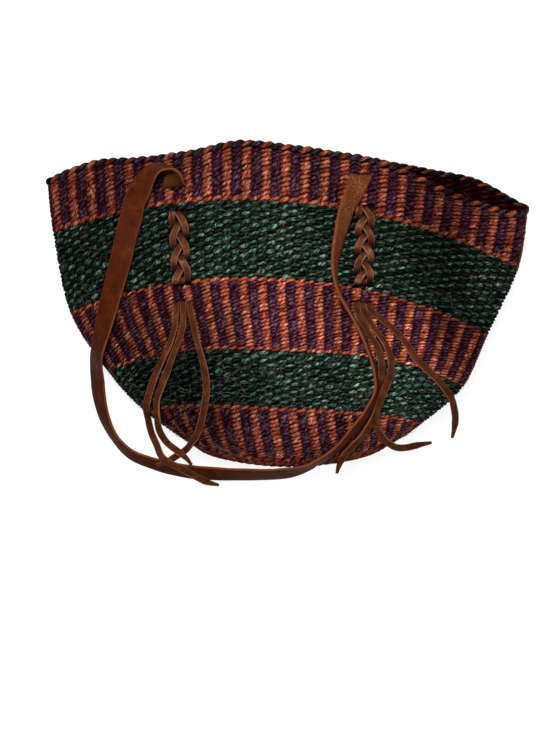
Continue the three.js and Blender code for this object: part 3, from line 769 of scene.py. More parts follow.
# %% [markdown]
# ## Warps
#
# The warps are the plain cords that the rows are twined round. They fill the wall from inside and only
# show between the stitches. A fluted sheet in the middle of the wall, one flute to a warp, stands for
# them, and its near-black colour is painted shade down between the stitches.

# %% Warps
WARP_HALF = 0.35  # mm, half the sheet's thickness
FLUTE_STEPS = 4
STANDING = 0.6  # rows that the warps stand up into the rolled edge
WARP_OUT = 0.5  # how far out of the shade they lie


def warp_sheet(name, point, rows, warps, above=0.0):
    """above is how many rows the warps stand up past the first row."""
    share = np.arange(warps * FLUTE_STEPS) / (warps * FLUTE_STEPS)
    row, share = np.meshgrid(np.linspace(-above, rows, rows // 2 + 2), share)
    _, _, out = directions(point, row, share, 0.3)
    flute = WARP_HALF * (1 + 0.5 * np.cos(2 * np.pi * share * warps))[..., None]
    middle = point(row, share) - out * WALL / 2
    rings = np.concatenate([middle + out * flute, (middle - out * flute)[:, ::-1]], axis=1)[None]
    notes = np.concatenate([rings, np.full((*rings.shape[:-1], 1), WARP_OUT)], axis=-1)
    return ring_mesh(name, rings, notes, closed=True, note_name="yarn")


# the warp sheet's near-black colour is painted shade between the stitches
warp_cord_painted_shade = yarn_finish("dark_warp_cord", (8, 3, 3), (20, 8, 8), (38, 20, 16), (8, 3, 3))
for name, start, stop, rows, warps, yarns, whole, slot, lean, spread in BANDS:
    point = band_point(start, stop, rows, warps, lean, spread)
    sheet = warp_sheet(f"{name}_warps", point, rows, warps, STANDING if start == TOP_START else 0.0)
    finished(sheet, warp_cord_painted_shade, nodes=[name])
sheet = warp_sheet("woven_base_warps", base_point, BASE_ROWS, BASE_WARPS)
finished(sheet, warp_cord_painted_shade, nodes=["woven_base"])
print("warps:", len(BANDS) + 1, "sheets")

# %% [markdown]
# ## The rolled edge
#
# At the mouth the warps' ends are turned down and bound over with the two yarns, which lie there as a
# thick two-strand rope, one plump brick lump and one violet lump to each pair of warps. It is made as
# such a rope: two strands on one helix, one full turn for each pair.

# %% Rolled edge
STRAND_HALF = 2.3  # mm, half a strand's thickness outside the rope
STRAND_REACH = 1.5  # mm, from the rope's middle to a strand's
STRAND_HEART = 1.2  # mm, from the rope's middle to where the shade between the strands ends
STRAND_THINNEST = 0.72  # of its thickness, inside the rope
STRAND_STEPS, STRAND_ROUND = 8, 10  # rings to a warp, and points to a ring
RIM_WARPS = 102
rim_turns = even_turns(0.5)


def rim_strand(name, k):
    column = np.arange(RIM_WARPS * STRAND_STEPS) / STRAND_STEPS
    share = column / RIM_WARPS
    turn = rim_turns(share)
    here = wall_point(RIM_ROW, turn, WALL / 2)
    side = unit(wall_point(RIM_ROW, rim_turns(share + 1e-4), WALL / 2) - here)
    up = unit(wall_point(0.0, turn, WALL / 2) - wall_point(0.3, turn, WALL / 2))
    out = unit(np.cross(up, side))
    lump = np.floor(column / 2 + 0.5 * k + 0.25).astype(int) % (RIM_WARPS // 2)
    chance = rng.random(RIM_WARPS // 2)[lump]
    swell = rng.normal(1, 0.07, RIM_WARPS // 2)[lump]
    phase = np.pi * (column + k)
    path = here + STRAND_REACH * (out * np.cos(phase)[:, None] - up * np.sin(phase)[:, None])
    angles = 2 * np.pi * np.arange(STRAND_ROUND) / STRAND_ROUND
    plump = np.sqrt(np.maximum(0, np.cos(phase)))
    half = (STRAND_HALF * swell * (STRAND_THINNEST + (1 - STRAND_THINNEST) * plump))[:, None]
    rings, along = yarn_rings(path, out, half, half, angles)
    around = 2 * np.arange(STRAND_ROUND) / STRAND_ROUND
    reach = np.linalg.norm(rings - here[:, None], axis=-1) - STRAND_HEART
    proud = np.clip(reach / (STRAND_REACH + STRAND_HALF - STRAND_HEART), 0, 1)
    notes = stacked(along[:, None], around, chance[:, None], proud)
    return ring_mesh(name, rings[None], notes[None], closed=True, note_name="yarn")


worn_brick_yarn = yarn_finish(
    "worn_brick_sisal_yarn", (60, 16, 10), (154, 72, 44), (226, 150, 112), (26, 4, 4), (0.6, 0.42, 0.4))
dark_violet_yarn = yarn_finish(
    "dark_violet_sisal_yarn", (10, 5, 12), (36, 24, 40), (116, 94, 112), (10, 3, 8), (1.3, 0.8, 0.8))
for k, finish in enumerate((worn_brick_yarn, dark_violet_yarn)):
    strand = rim_strand(f"rim_strand_{finish.material.name}", k)
    finished(strand, finish, nodes=["rim_edging"])
print("rolled edge:", RIM_WARPS // 2, "turns")

# %% [markdown]
# ## Loose hairs
#
# Sisal sheds short stiff fibres all over, pale where the dye has not taken. They catch the light against
# the dark yarns, and without them the weave looks like plastic. Each hair is a thin tapering tube that
# starts between the stitches, rises a little way off them and bends, and none is made round the plaits.

# %% Hairs
HAIRS = 4600
HAIR_HALF = 0.11  # mm, half a hair's thickness where it starts
HAIR_TAPER = 0.7  # of that, lost at its tip
HAIR_STEPS, HAIR_ROUND = 6, 3  # rings to a hair, and points to a ring
HAIR_ROWS = (0.08, 5.3)  # of the table, between which hairs start
HAIR_LENGTHS = (2, 13)  # mm
BARE_HALF, BARE_ABOVE, BARE_BELOW = 20, 8, 14  # mm, the hairless place round each plait
BARE_SHIFT = 3  # mm, from the strap's slit to the middle of that place


def hair_starts(count):
    """Places on the weave for hairs, with the directions there, clear of the plaits."""
    row, turn = rng.uniform(*HAIR_ROWS, count), even_turns(2.5)(rng.random(count))
    start = wall_point(row, turn)
    side = unit(wall_point(row, turn + 1e-3) - wall_point(row, turn - 1e-3))
    up = unit(wall_point(row - 0.02, turn) - wall_point(row + 0.02, turn))
    clear = np.ones(count, bool)
    for end in FASTENING_SHARES:
        (x, high), *_, (_, low) = slit_places(end)
        beside = np.abs(start[:, 0] - x - BARE_SHIFT) < BARE_HALF
        clear &= ~(beside & (start[:, 1] < high + BARE_ABOVE) & (start[:, 1] > low - BARE_BELOW))
    return start[clear], side[clear], up[clear]


def hair_rings(count):
    start, side, up = hair_starts(count)
    out = unit(np.cross(up, side))
    heading = rng.uniform(0, 2 * np.pi, len(start))[:, None]
    ahead = side * np.cos(heading) + up * np.sin(heading)
    length = np.clip(rng.gamma(2.2, 2.6, len(start)), *HAIR_LENGTHS)[:, None, None]
    bend = rng.normal(0, 0.35, len(start))[:, None, None]
    lift = rng.uniform(0.2, 1.5, len(start))[:, None, None]
    t = np.linspace(0, 1, HAIR_STEPS)[None, :, None]
    across = np.cross(out, ahead)[:, None]
    path = start[:, None] + length * (ahead[:, None] * t + across * bend * t**2)
    path = path + out[:, None] * (lift * np.sin(np.pi * (0.1 + 0.75 * t)) - 0.6 + 0.3 * t)
    path[..., 2] = np.maximum(path[..., 2], HAIR_HALF)
    run = unit(np.gradient(path, axis=1))
    wide = unit(np.cross(run, np.broadcast_to(out[:, None], run.shape)))
    half = HAIR_HALF * (1 - HAIR_TAPER * t)
    angles = 2 * np.pi * np.arange(HAIR_ROUND) / HAIR_ROUND
    rings = oval_rings(path, wide, np.cross(run, wide), half, half, angles)
    chance = rng.random(len(start))[:, None, None]
    return rings, stacked(length * t, np.zeros(HAIR_ROUND), chance)


hair = Finish("sisal_hair")
along, around, chance = hair.notes("yarn")
hair_dyes = hair.ramp(
    chance, (0.0, colour(112, 52, 36)), (0.45, colour(70, 52, 60)), (0.75, colour(88, 84, 74)),
    (1.0, colour(188, 170, 148)))
patchy = hair.noise(hair.place(along * 0.3, chance * 91), 1.0)
# the hairs take the same painted light and shade over the bag's form
hair_light_and_shade = painted_falloff_by_place(hair, hair.on_object())
hair.set(
    Base_Color=hair.mix(1.0, hair.mix(patchy, (0.25, 0.22, 0.2), hair_dyes), hair_light_and_shade, "MULTIPLY"),
    Roughness=0.75 - patchy * 0.2,
    Specular_IOR_Level=0.2,
)
hairs = ring_mesh("loose_sisal_hairs", *hair_rings(HAIRS), note_name="yarn")
finished(hairs, hair)
print("hairs:", len(hairs.data.vertices) // (HAIR_STEPS * HAIR_ROUND))

# %% [markdown]
# ## Laying leather
#
# A strap or thong is a flat section carried along a smooth curve, like the yarn, but here each point of
# the path also says which way the leather's width lies, so that it can turn on edge or twist. The curve
# is the same centripetal one that shapes the solids, so the leather stays close to them.

# %% Curves
def smooth_curve(points, per=16):
    """A centripetal Catmull-Rom curve through points, and each sample's place among them."""
    points = np.asarray(points, float)
    first, last = 2 * points[0] - points[1], 2 * points[-1] - points[-2]
    held = np.vstack([first, points, last])
    a, b, c, d = held[:-3], held[1:-2], held[2:-1], held[3:]
    gaps = [np.linalg.norm(q - p, axis=1)[:, None] ** 0.5 for p, q in ((a, b), (b, c), (c, d))]
    gaps[1] = np.where(gaps[1] < 1e-4, 1, gaps[1])
    gaps[0] = np.where(gaps[0] < 1e-4, gaps[1], gaps[0])
    gaps[2] = np.where(gaps[2] < 1e-4, gaps[1], gaps[2])
    leave = ((b - a) / gaps[0] - (c - a) / (gaps[0] + gaps[1]) + (c - b) / gaps[1]) * gaps[1]
    reach = ((c - b) / gaps[1] - (d - b) / (gaps[1] + gaps[2]) + (d - c) / gaps[2]) * gaps[1]
    t = (np.arange(per) / per)[None, :, None]
    b, c, leave, reach = (v[:, None] for v in (b, c, leave, reach))
    cubic, square = 2 * b - 2 * c + leave + reach, -3 * b + 3 * c - 2 * leave - reach
    curve = (((cubic * t + square) * t + leave) * t + b).reshape(-1, 3)
    places = np.arange(len(curve)) / per
    return np.vstack([curve, points[-1]]), np.append(places, len(points) - 1)


def laid_path(points, sides, step):
    """The curve at even steps: points, the way its width lies, its outward side, how far along each
    is, and between which of the given points."""
    curve, places = smooth_curve(points)
    lengths = np.concatenate([[0], np.cumsum(np.linalg.norm(np.diff(curve, axis=0), axis=1))])
    along = np.linspace(0, lengths[-1], max(8, int(round(lengths[-1] / step)) + 1))
    path = np.stack([np.interp(along, lengths, curve[:, k]) for k in range(3)], axis=1)
    place = np.interp(along, lengths, places)
    width = np.stack([np.interp(place, np.arange(len(sides)), np.asarray(sides)[:, k]) for k in range(3)], 1)
    run = unit(np.gradient(path, axis=0))
    width = unit(width - run * (width * run).sum(1)[:, None])
    return path, width, np.cross(run, width), along, place


print("a curve through three points has", len(smooth_curve(np.eye(3))[0]), "samples")

# %% Flat leather
LEATHER = 2.4  # mm thick
STRAP_WIDTH = 20.0
THONG_WIDTH = 5.2
EDGE = 0.55  # mm, how far its cut edges are eased
WAVER = 9.0  # mm between the places where a cut edge strays
STRAY_WIDTH = 0.015  # of half the width, how far it strays there
TIP_WIDTH = 0.42  # of the whole width, at a tail's end
OPEN_SHADE = (0.0, 1.6)  # mm over the bag, between which leather comes out of its painted shade


def half_section(way):
    """Half of the section: how far out as a share of the width, what is eased off, height and face."""
    shape = [(1, 0, 0, 0), (1, -0.2, 0.62, 0.4), (1, -1, 0.97, 0.9), (0.5, 0, 1.02, 1), (0, 0, 1.03, 1),
             (-0.5, 0, 1.02, 1), (-1, 1, 0.97, 0.9), (-1, 0.2, 0.62, 0.4)]
    return [tuple(way * value for value in point) for point in shape]


SECTION = half_section(1) + half_section(-1)


def leather_ribbon(name, side, points, sides, widths, step, taper=0.0, cut=0.0, shade=OPEN_SHADE):
    """Flat leather along a path, with its smooth side out. side is 1 on the bag's front and -1 on its
    back. The widths are given for the whole or for each point, taper is the length of its tip, and cut
    is the place in the hide, in mm, that it was cut from."""
    path, across, outward, along, place = laid_path(points, sides, step)
    knots = np.arange(0, along[-1] + WAVER, WAVER)
    width = np.interp(place, np.arange(len(points)), np.broadcast_to(widths, len(points)))
    strayed = np.interp(along, knots, rng.normal(0, 1, len(knots)))
    half = width / 2 * (1 + STRAY_WIDTH * strayed)
    if taper:
        half *= np.clip(TIP_WIDTH + (1 - TIP_WIDTH) * (along[-1] - along) / taper, 0, 1)
    whole, eased, height, face = (np.array(column) for column in zip(*SECTION))
    aside = half[:, None] * whole + EDGE * eased * np.minimum(1, 2 * half / width)[:, None]
    thick = (LEATHER / 2 * height)[None, :, None]
    rings = path[:, None] + across[:, None] * aside[..., None] + outward[:, None] * thick
    raised = side * (rings[..., 2] - face_height(rings[..., 0], rings[..., 1], side))
    shown = np.clip((raised - shade[0]) / (shade[1] - shade[0]), 0, 1)
    notes = stacked(along[:, None] + cut, aside, (face * side)[None], shown)
    return ring_mesh(name, rings[None], notes[None]), path


def run_length(path):
    return float(np.linalg.norm(np.diff(path, axis=0), axis=1).sum())


print("the section of a strap has", len(SECTION), "points")

# %% [markdown]
# ## Leather
#
# The straps are plain vegetable-tanned leather, worn and oiled by hands. The grain side has a fine
# pebble and cloudy darker and lighter patches, the flesh side is duller and darker, and the cut edges
# are pale, because the dye doesn't reach the middle of the hide. The notes on the mesh tell the finish
# which side of the leather each point is on.

# %% Leather finish
SUEDE_START, SUEDE_END = 640, 720  # mm along a strap, between which it wears to a rough golden nap
SUEDE_RAGGED = 60  # mm, how uneven the start of the nap is
STRAP_RUN = 800.0  # mm
# how much darker the strap is coloured along its middle, at shares of its run
DARKENED = [(0.14, (1, 1, 1)), (0.3, (0.8, 0.72, 0.7)), (0.7, (0.8, 0.7, 0.66)), (0.85, (1, 1, 1))]
GRAIN_STOPS, NAP_STOPS = (0.34, 0.52, 0.7), (0.4, 0.56, 0.7)  # of the noise, for each of three colours
DULLED = 0.7  # how dark the flesh side goes
LEATHER_BUMP = (0.45, 0.0005)  # strength, and depth in metres
LEATHER_GLOSS = 0.02  # oiled, not polished


def worn_grain(finish, grain, spot, along, clouds, nap):
    """The grain of a strap, darkened along its run and roughed up towards one end."""
    specks = finish.noise(spot, 0.95, detail=2.0, roughness=0.6)
    rough = finish.ramp(specks * 0.85 + clouds * 0.15, *zip(NAP_STOPS, nap))
    darker_run = finish.ramp(along * (1 / STRAP_RUN), *DARKENED)
    worn = finish.between(along + clouds * SUEDE_RAGGED, SUEDE_START, SUEDE_END)
    return finish.mix(worn, finish.mix(1.0, grain, darker_run, "MULTIPLY"), rough)


def leather_finish(name, tones, edge, flesh, contact_shade, nap=None):
    """tones are dark, plain and pale, the colour after the flesh's is painted shade where the leather lies
    low by the weave or under other thongs, and nap the three colours of a worn end, if it has one."""
    finish = Finish(name)
    flesh = colour(*flesh)
    along, across, face = finish.notes("lie")
    spot = finish.place(along, across)
    clouds = finish.noise(spot, 0.07, detail=4.0, roughness=0.6)
    rub = finish.noise(finish.place(along * 0.6, across), 0.6, detail=4.0, roughness=0.7)
    pebble = finish.node(
        "ShaderNodeTexVoronoi", {"feature": "DISTANCE_TO_EDGE"}, {"Vector": spot, "Scale": 1.1})
    grain = finish.ramp(clouds * 0.6 + rub * 0.4, *zip(GRAIN_STOPS, (colour(*tone) for tone in tones)))
    if nap:
        grain = worn_grain(finish, grain, spot, along, clouds, [colour(*tone) for tone in nap])
    on_grain = finish.between(face, 0.0, 0.2)
    level = finish.node("ShaderNodeMath", {"operation": "ABSOLUTE"}, {0: face})
    on_edge = finish.between(level, 0.95, 0.45)
    dull = finish.mix(rub, tuple(v * DULLED for v in flesh), flesh)
    surface = finish.mix(on_edge * (0.35 + rub * 0.7), finish.mix(on_grain, dull, grain), colour(*edge))
    finish.set(
        # painted shade where the leather lies low by the weave or under other thongs
        Base_Color=finish.mix(finish.out_note(), colour(*contact_shade), surface),
        Roughness=0.8 - on_grain * 0.18 - rub * 0.12,
        Normal=finish.bump(pebble * 0.6 + rub, *LEATHER_BUMP),
        Specular_IOR_Level=LEATHER_GLOSS,
    )
    return finish


# the colour after each leather's flesh colour is its painted shade low by the weave
strap_leather = leather_finish(
    "strap_leather", [(52, 19, 6), (76, 31, 12), (100, 48, 22)], (128, 70, 40), (84, 46, 24), (22, 8, 4),
    [(84, 38, 18), (118, 62, 32), (222, 160, 112)])
thong_leather = leather_finish(
    "thong_leather", [(44, 18, 8), (98, 52, 32), (170, 118, 92)], (192, 140, 112), (66, 35, 22),
    (12, 4, 2))
tail_leather = leather_finish(
    "tail_leather", [(42, 16, 6), (76, 37, 18), (116, 66, 40)], (164, 108, 74), (60, 30, 15), (18, 6, 3))
print("leather finishes:", [f.material.name for f in (strap_leather, thong_leather, tail_leather)])

# %% [markdown]
# ## Through the weave
#
# At each fastening the strap goes in at a slit, runs down inside the wall as a tongue, and comes out of
# the next slit cut into three thongs. They cross over each other in an ordinary three-strand plait, go
# in again and come out as tails. Each thong swings from side to side once while it rises and dips
# twice, a third of a turn apart from the next, which is all that a plait is. So its path is a formula,
# with a few stops at each slit to take it through the wall.

# %% Depths
GROUND_GAP, SEAT_GAP, SEAM_GAP = 0.3, 0.6, 0.3
INNER_DEPTH = WALL + LEATHER / 2  # of leather that lies inside the wall
OUTER_LIFT = LEATHER / 2 + SEAT_GAP  # of leather that lies on it


def under(x, y, side, depth):
    """Height of a place that lies a depth under the bag's outer face, and never under the ground."""
    face = face_height(x, y, side)
    if side > 0:
        return face - depth
    return np.maximum(face + depth, LEATHER / 2 + 2 * GROUND_GAP)


def frame_of(start, end):
    """The length from one slit to the next, and the directions along and across."""
    length = float(np.linalg.norm(end - start))
    along = (end - start) / length
    return length, along, np.array([-along[1], along[0]])


def stops_to_points(stops, start, along, across, side):
    """Stops (along, across, depth) from a slit, turned into points."""
    ahead, aside, depth = np.array(stops).T
    x = start[0] + along[0] * ahead + across[0] * aside
    y = start[1] + along[1] * ahead + across[1] * aside
    return np.stack([x, y, under(x, y, side, depth)], axis=1)


print("leather lies", INNER_DEPTH, "mm deep in the wall, and", round(OUTER_LIFT, 1), "mm high on it")

# %% A thong's path
PLAIT_WIDTH, PLAIT_START, TAIL_START = 17.0, 3.6, 8.0
CROSSINGS = {"left": 6, "right": 8}
STOPS_TO_A_CROSSING = 3
THONG_PITCH = THONG_WIDTH + 0.6  # from the middle of one thong to the next, side by side in a slit
PLAIT_SWING = (PLAIT_WIDTH - THONG_WIDTH) / 2
PLAIT_LAYER = 1.15 * LEATHER
TAIL_STOPS = 4  # the stops of a thong's path that its tail is made with, from inside its last slit


def lane_at(phase):
    """How far aside a thong enters or leaves a slit, in the nearest of its three lanes."""
    return round(math.sin(phase) / math.sin(math.pi / 3)) * THONG_PITCH


def plait_thong(slits, side, crossed, k):
    """One thong's path: out of its slit, through the plait, in again, and out as a tail."""
    _, start, end, out = slits
    length, along, across = frame_of(start, end)
    turned = crossed * math.pi / 3
    first_phase = 2 * math.pi * k / 3
    first_lane, last_lane = lane_at(first_phase), lane_at(first_phase + turned)
    lift = OUTER_LIFT + PLAIT_LAYER
    stops = [(0, first_lane, INNER_DEPTH), (0, first_lane, WALL / 2), (LEATHER / 4, first_lane, -SEAT_GAP)]
    count = crossed * STOPS_TO_A_CROSSING
    for step in range(count + 1):
        turn = first_phase + turned * step / count
        ahead = PLAIT_START + (length - 2 * PLAIT_START) * step / count
        layer = side * PLAIT_LAYER * math.sin(2 * turn)
        stops.append((ahead, PLAIT_SWING * math.sin(turn), -(lift + layer)))
    past = length + float(np.linalg.norm(out - end))
    inside = INNER_DEPTH + SEAT_GAP
    leaving = [
        (length - LEATHER / 4, -SEAT_GAP), (length, WALL / 2), (length + LEATHER, inside),
        (past - LEATHER, inside), (past, WALL / 2), (past + LEATHER / 2, -SEAT_GAP),
        (past + 2 * LEATHER, -OUTER_LIFT), (past + TAIL_START, -OUTER_LIFT)]
    stops += [(ahead, last_lane, depth) for ahead, depth in leaving]
    points = stops_to_points(stops, start, along, across, side)
    return points, round(last_lane / THONG_PITCH) + 2, along, across


def tongue_path(slits, side):
    """The strap's end inside the wall, from its own slit to the thongs' slit."""
    length, along, across = frame_of(slits[0], slits[1])
    _, _, plait_across = frame_of(slits[1], slits[2])
    turn, shallow = 2 * LEATHER, INNER_DEPTH + SEAM_GAP
    deep, thong_end = INNER_DEPTH + 2 * LEATHER, INNER_DEPTH + 2 * SEAT_GAP
    stops = [(0, 0, shallow), (0, 0, shallow + LEATHER / 2), (turn, 0, deep), (length - turn, 0, deep),
             (length, 0, thong_end + LEATHER / 2), (length, 0, thong_end)]
    points = stops_to_points(stops, slits[0], along, across, side)
    sides = [(*across, 0)] * 3 + [(*plait_across, 0)] * 3
    return points, sides


for end, crossed in CROSSINGS.items():
    print(end, "plait:", round(frame_of(*slit_places(end)[1:3])[0]), "mm and", crossed, "crossings")

# %% Plaits and tongues
HANDLES = {"front": 1, "back": -1}
SPREAD_WIDTH = 5.8  # mm, a thong's width where it lies flat in the plait
HELD = 4  # stops at each end, where a slit holds it to its own width
PLAIT_SHADE = (2.8, 8.0)  # mm over the bag, between which a thong comes out of the plait's shade
HIDE = 900  # mm, the length of hide that thongs are cut from
tail_starts = {}
for face, side in HANDLES.items():
    for end, crossed in CROSSINGS.items():
        slits = slit_places(end)
        tongue, _ = leather_ribbon(f"{face}_{end}_tongue", side, *tongue_path(slits, side), STRAP_WIDTH, 1.5)
        finished(tongue, strap_leather, nodes=[f"{face}_{end}_strap_tongue"])
        for k in range(3):
            points, place, along, across = plait_thong(slits, side, crossed, k)
            laid = points[:-TAIL_STOPS]
            widths = np.full(len(laid), SPREAD_WIDTH)
            widths[:HELD] = widths[-HELD:] = THONG_WIDTH
            node = f"{face}_{end}_plait_thong_{place}"
            thong, _ = leather_ribbon(
                f"{node}_laid", side, laid, [(*across, 0)] * len(laid), widths, 0.7,
                cut=rng.uniform(0, HIDE), shade=PLAIT_SHADE)
            finished(thong, thong_leather, nodes=[node])
            tail_starts[face, end, place] = points[-TAIL_STOPS - 1:], along, across
print("plaits:", len(tail_starts), "thongs")

# %% [markdown]
# ## Handles
#
# Each handle is one strap from slit to slit, so it is made in one piece. The front one arches up from
# its left slit, falls to the left edge of the bag, stands on edge round the bottom and comes back up to
# its right slit.

# %% The handles' paths
# the front strap's arch: across and up the bag, height in mm of its middle over the bag, and twist in
# degrees. It bends over here as a smooth band.
ARCH = [
    (-0.2285, 0.892, 11.5, 100), (-0.2435, 0.909, 13.7, 66), (-0.264, 0.9105, 13.8, 46),
    (-0.282, 0.8955, 12.8, 27), (-0.294, 0.8695, 11, 14), (-0.3035, 0.838, 8.5, 7),
]
# the rest: across and up the bag, lift over what it lies on as a share of its width, and twist
FRONT_HANDLE_SHARES = [
    (-0.315, 0.808, 0.2, 4), (-0.32, 0.768, 0.1, 2), (-0.33, 0.713, 0.05, 3), (-0.342, 0.628, 0.03, 6),
    (-0.359, 0.527, 0.03, 14), (-0.3745, 0.436, 0.05, 22), (-0.389, 0.354, 0.15, 24),
    (-0.396, 0.274, 0.95, 47), (-0.394, 0.203, 0.4, 52), (-0.383, 0.138, 0.12, 60), (-0.362, 0.08, 0.02, 68),
    (-0.33, 0.033, 0.02, 62), (-0.278, 0.002, 0.02, 56), (-0.214, -0.02, 0.02, 52), (-0.152, -0.026, 0.3, 54),
    (-0.08, -0.025, 0.95, 58), (-0.007, -0.015, 2, 60), (0.049, 0.015, 0.2, 54), (0.096, 0.061, 0.02, 50),
    (0.131, 0.119, 0.02, 50), (0.16, 0.18, 0.02, 58), (0.175, 0.238, 0.02, 70), (0.171, 0.299, 0.02, 74),
    (0.158, 0.36, 0.02, 74), (0.14, 0.421, 0.02, 76), (0.119, 0.479, 0.02, 74), (0.102, 0.525, 0.02, 76),
    (0.093, 0.575, 0.02, 76), (0.0925, 0.62, 0.02, 72), (0.0965, 0.66, 0.04, 66), (0.1025, 0.7, 0.08, 61),
    (0.109, 0.74, 0.12, 55), (0.1165, 0.78, 0.16, 51), (0.1265, 0.815, 0.2, 43), (0.1375, 0.855, 0.2, 24),
]
# the back one lies flat: across, up and lift
BACK_HANDLE_SHARES = [
    (-0.25, 0.815, 0.06), (-0.28, 0.775, 0), (-0.335, 0.73, 0), (-0.385, 0.655, 0), (-0.412, 0.56, 0),
    (-0.412, 0.46, 0), (-0.385, 0.36, 0), (-0.335, 0.275, 0), (-0.26, 0.228, 0), (-0.17, 0.206, 0),
    (-0.07, 0.2, 0), (0.03, 0.201, 0), (0.13, 0.208, 0), (0.22, 0.23, 0), (0.295, 0.28, 0),
    (0.35, 0.36, 0), (0.38, 0.46, 0), (0.38, 0.56, 0), (0.355, 0.66, 0), (0.305, 0.735, 0),
    (0.24, 0.78, 0), (0.188, 0.82, 0.02), (0.163, 0.858, 0.06),
]
SLIT_PULL = 2.0  # mm, how far the front strap is pulled to one end of its right slit
UPWARD = np.array([0.0, 0.0, 1.0])


def face_normal(x, y, side):
    """The bag's own outward direction under a place, for leather that lies on it."""
    reach = STRAP_WIDTH / 4
    if np.isnan(bag_face(x, y, side)):
        return UPWARD
    here = face_height(x, y, side)
    around = [bag_face(x + dx, y, side) for dx in (reach, -reach)]
    around += [bag_face(x, y + dy, side) for dy in (reach, -reach)]
    right, left, up, down = (here if np.isnan(height) else height for height in around)
    return unit(np.array([(left - right) / (2 * reach), (down - up) / (2 * reach), 1.0]))


def twisted_sides(points, twists, side):
    """Which way the leather's width lies at each point, turned about its length by a twist."""
    sides = []
    for i, (point, twist) in enumerate(zip(points, twists)):
        run = unit(points[min(i + 1, len(points) - 1)] - points[max(i - 1, 0)])
        up = face_normal(point[0], point[1], side) if side > 0 else UPWARD
        across = unit(np.cross(up, run))
        turned = math.radians(twist)
        sides.append(across * math.cos(turned) + np.cross(run, across) * math.sin(turned))
    return sides


def strap_point(x_share, y_share, lift, twist, side):
    """The middle of a strap whose lower edge lies on the bag, or on the ground behind it."""
    x, y = placed(x_share, y_share)
    turned = math.radians(twist)
    half = (STRAP_WIDTH * abs(math.sin(turned)) + LEATHER * abs(math.cos(turned))) / 2
    below = face_height(x, y, side) + SEAT_GAP if side > 0 else GROUND_GAP
    return np.array([x, y, below + half + lift * STRAP_WIDTH])


def handle_path(side):
    arch = ARCH if side > 0 else []
    shares = FRONT_HANDLE_SHARES if side > 0 else [(*row, 0) for row in BACK_HANDLE_SHARES]
    points = []
    for x_share, y_share, height, _ in arch:
        x, y = placed(x_share, y_share)
        points.append(np.array([x, y, face_height(x, y, side) + height]))
    points += [strap_point(*row, side) for row in shares]
    sides = twisted_sides(points, [row[3] for row in arch + shares], side)
    for end, way in (("left", 1), ("right", -1)):
        slit, following = slit_places(end)[:2]
        wide = np.array([*frame_of(slit, following)[2], 0]) * way
        if side > 0 and end == "right":
            slit = slit - np.array([SLIT_PULL, 0])
        stub = [np.array([*slit, under(*slit, side, depth)]) for depth in (INNER_DEPTH, WALL / 2)]
        if end == "left":
            points, sides = stub + points, [wide, wide] + sides
        else:
            points, sides = points + stub[::-1], sides + [wide, wide]
    return points, sides


print("stops of the front and back handle:", [len(handle_path(side)[0]) for side in HANDLES.values()])

# %% The handles
PINCHED_WIDTH, PINCHED = 18.6, 4  # mm, and over how many stops, where its right slit holds a strap tight
for face, side in HANDLES.items():
    points, sides = handle_path(side)
    widths = np.full(len(points), STRAP_WIDTH)
    widths[-PINCHED:] = PINCHED_WIDTH
    strap, path = leather_ribbon(f"{face}_handle_strap", side, points, sides, widths, 1.5)
    nodes = [f"{face}_strap", f"{face}_left_strap_bend", f"{face}_right_strap_bend"]
    finished(strap, strap_leather, body=None, nodes=nodes)
    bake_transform(strap)
    print(face, "handle:", round(run_length(path)), "mm")

# %% [markdown]
# ## Tails
#
# The thongs' loose ends lie in easy curves over the bag and over each other. Their routes were laid
# from the photograph, as steps from where each leaves its slit. They are the cords of this object.

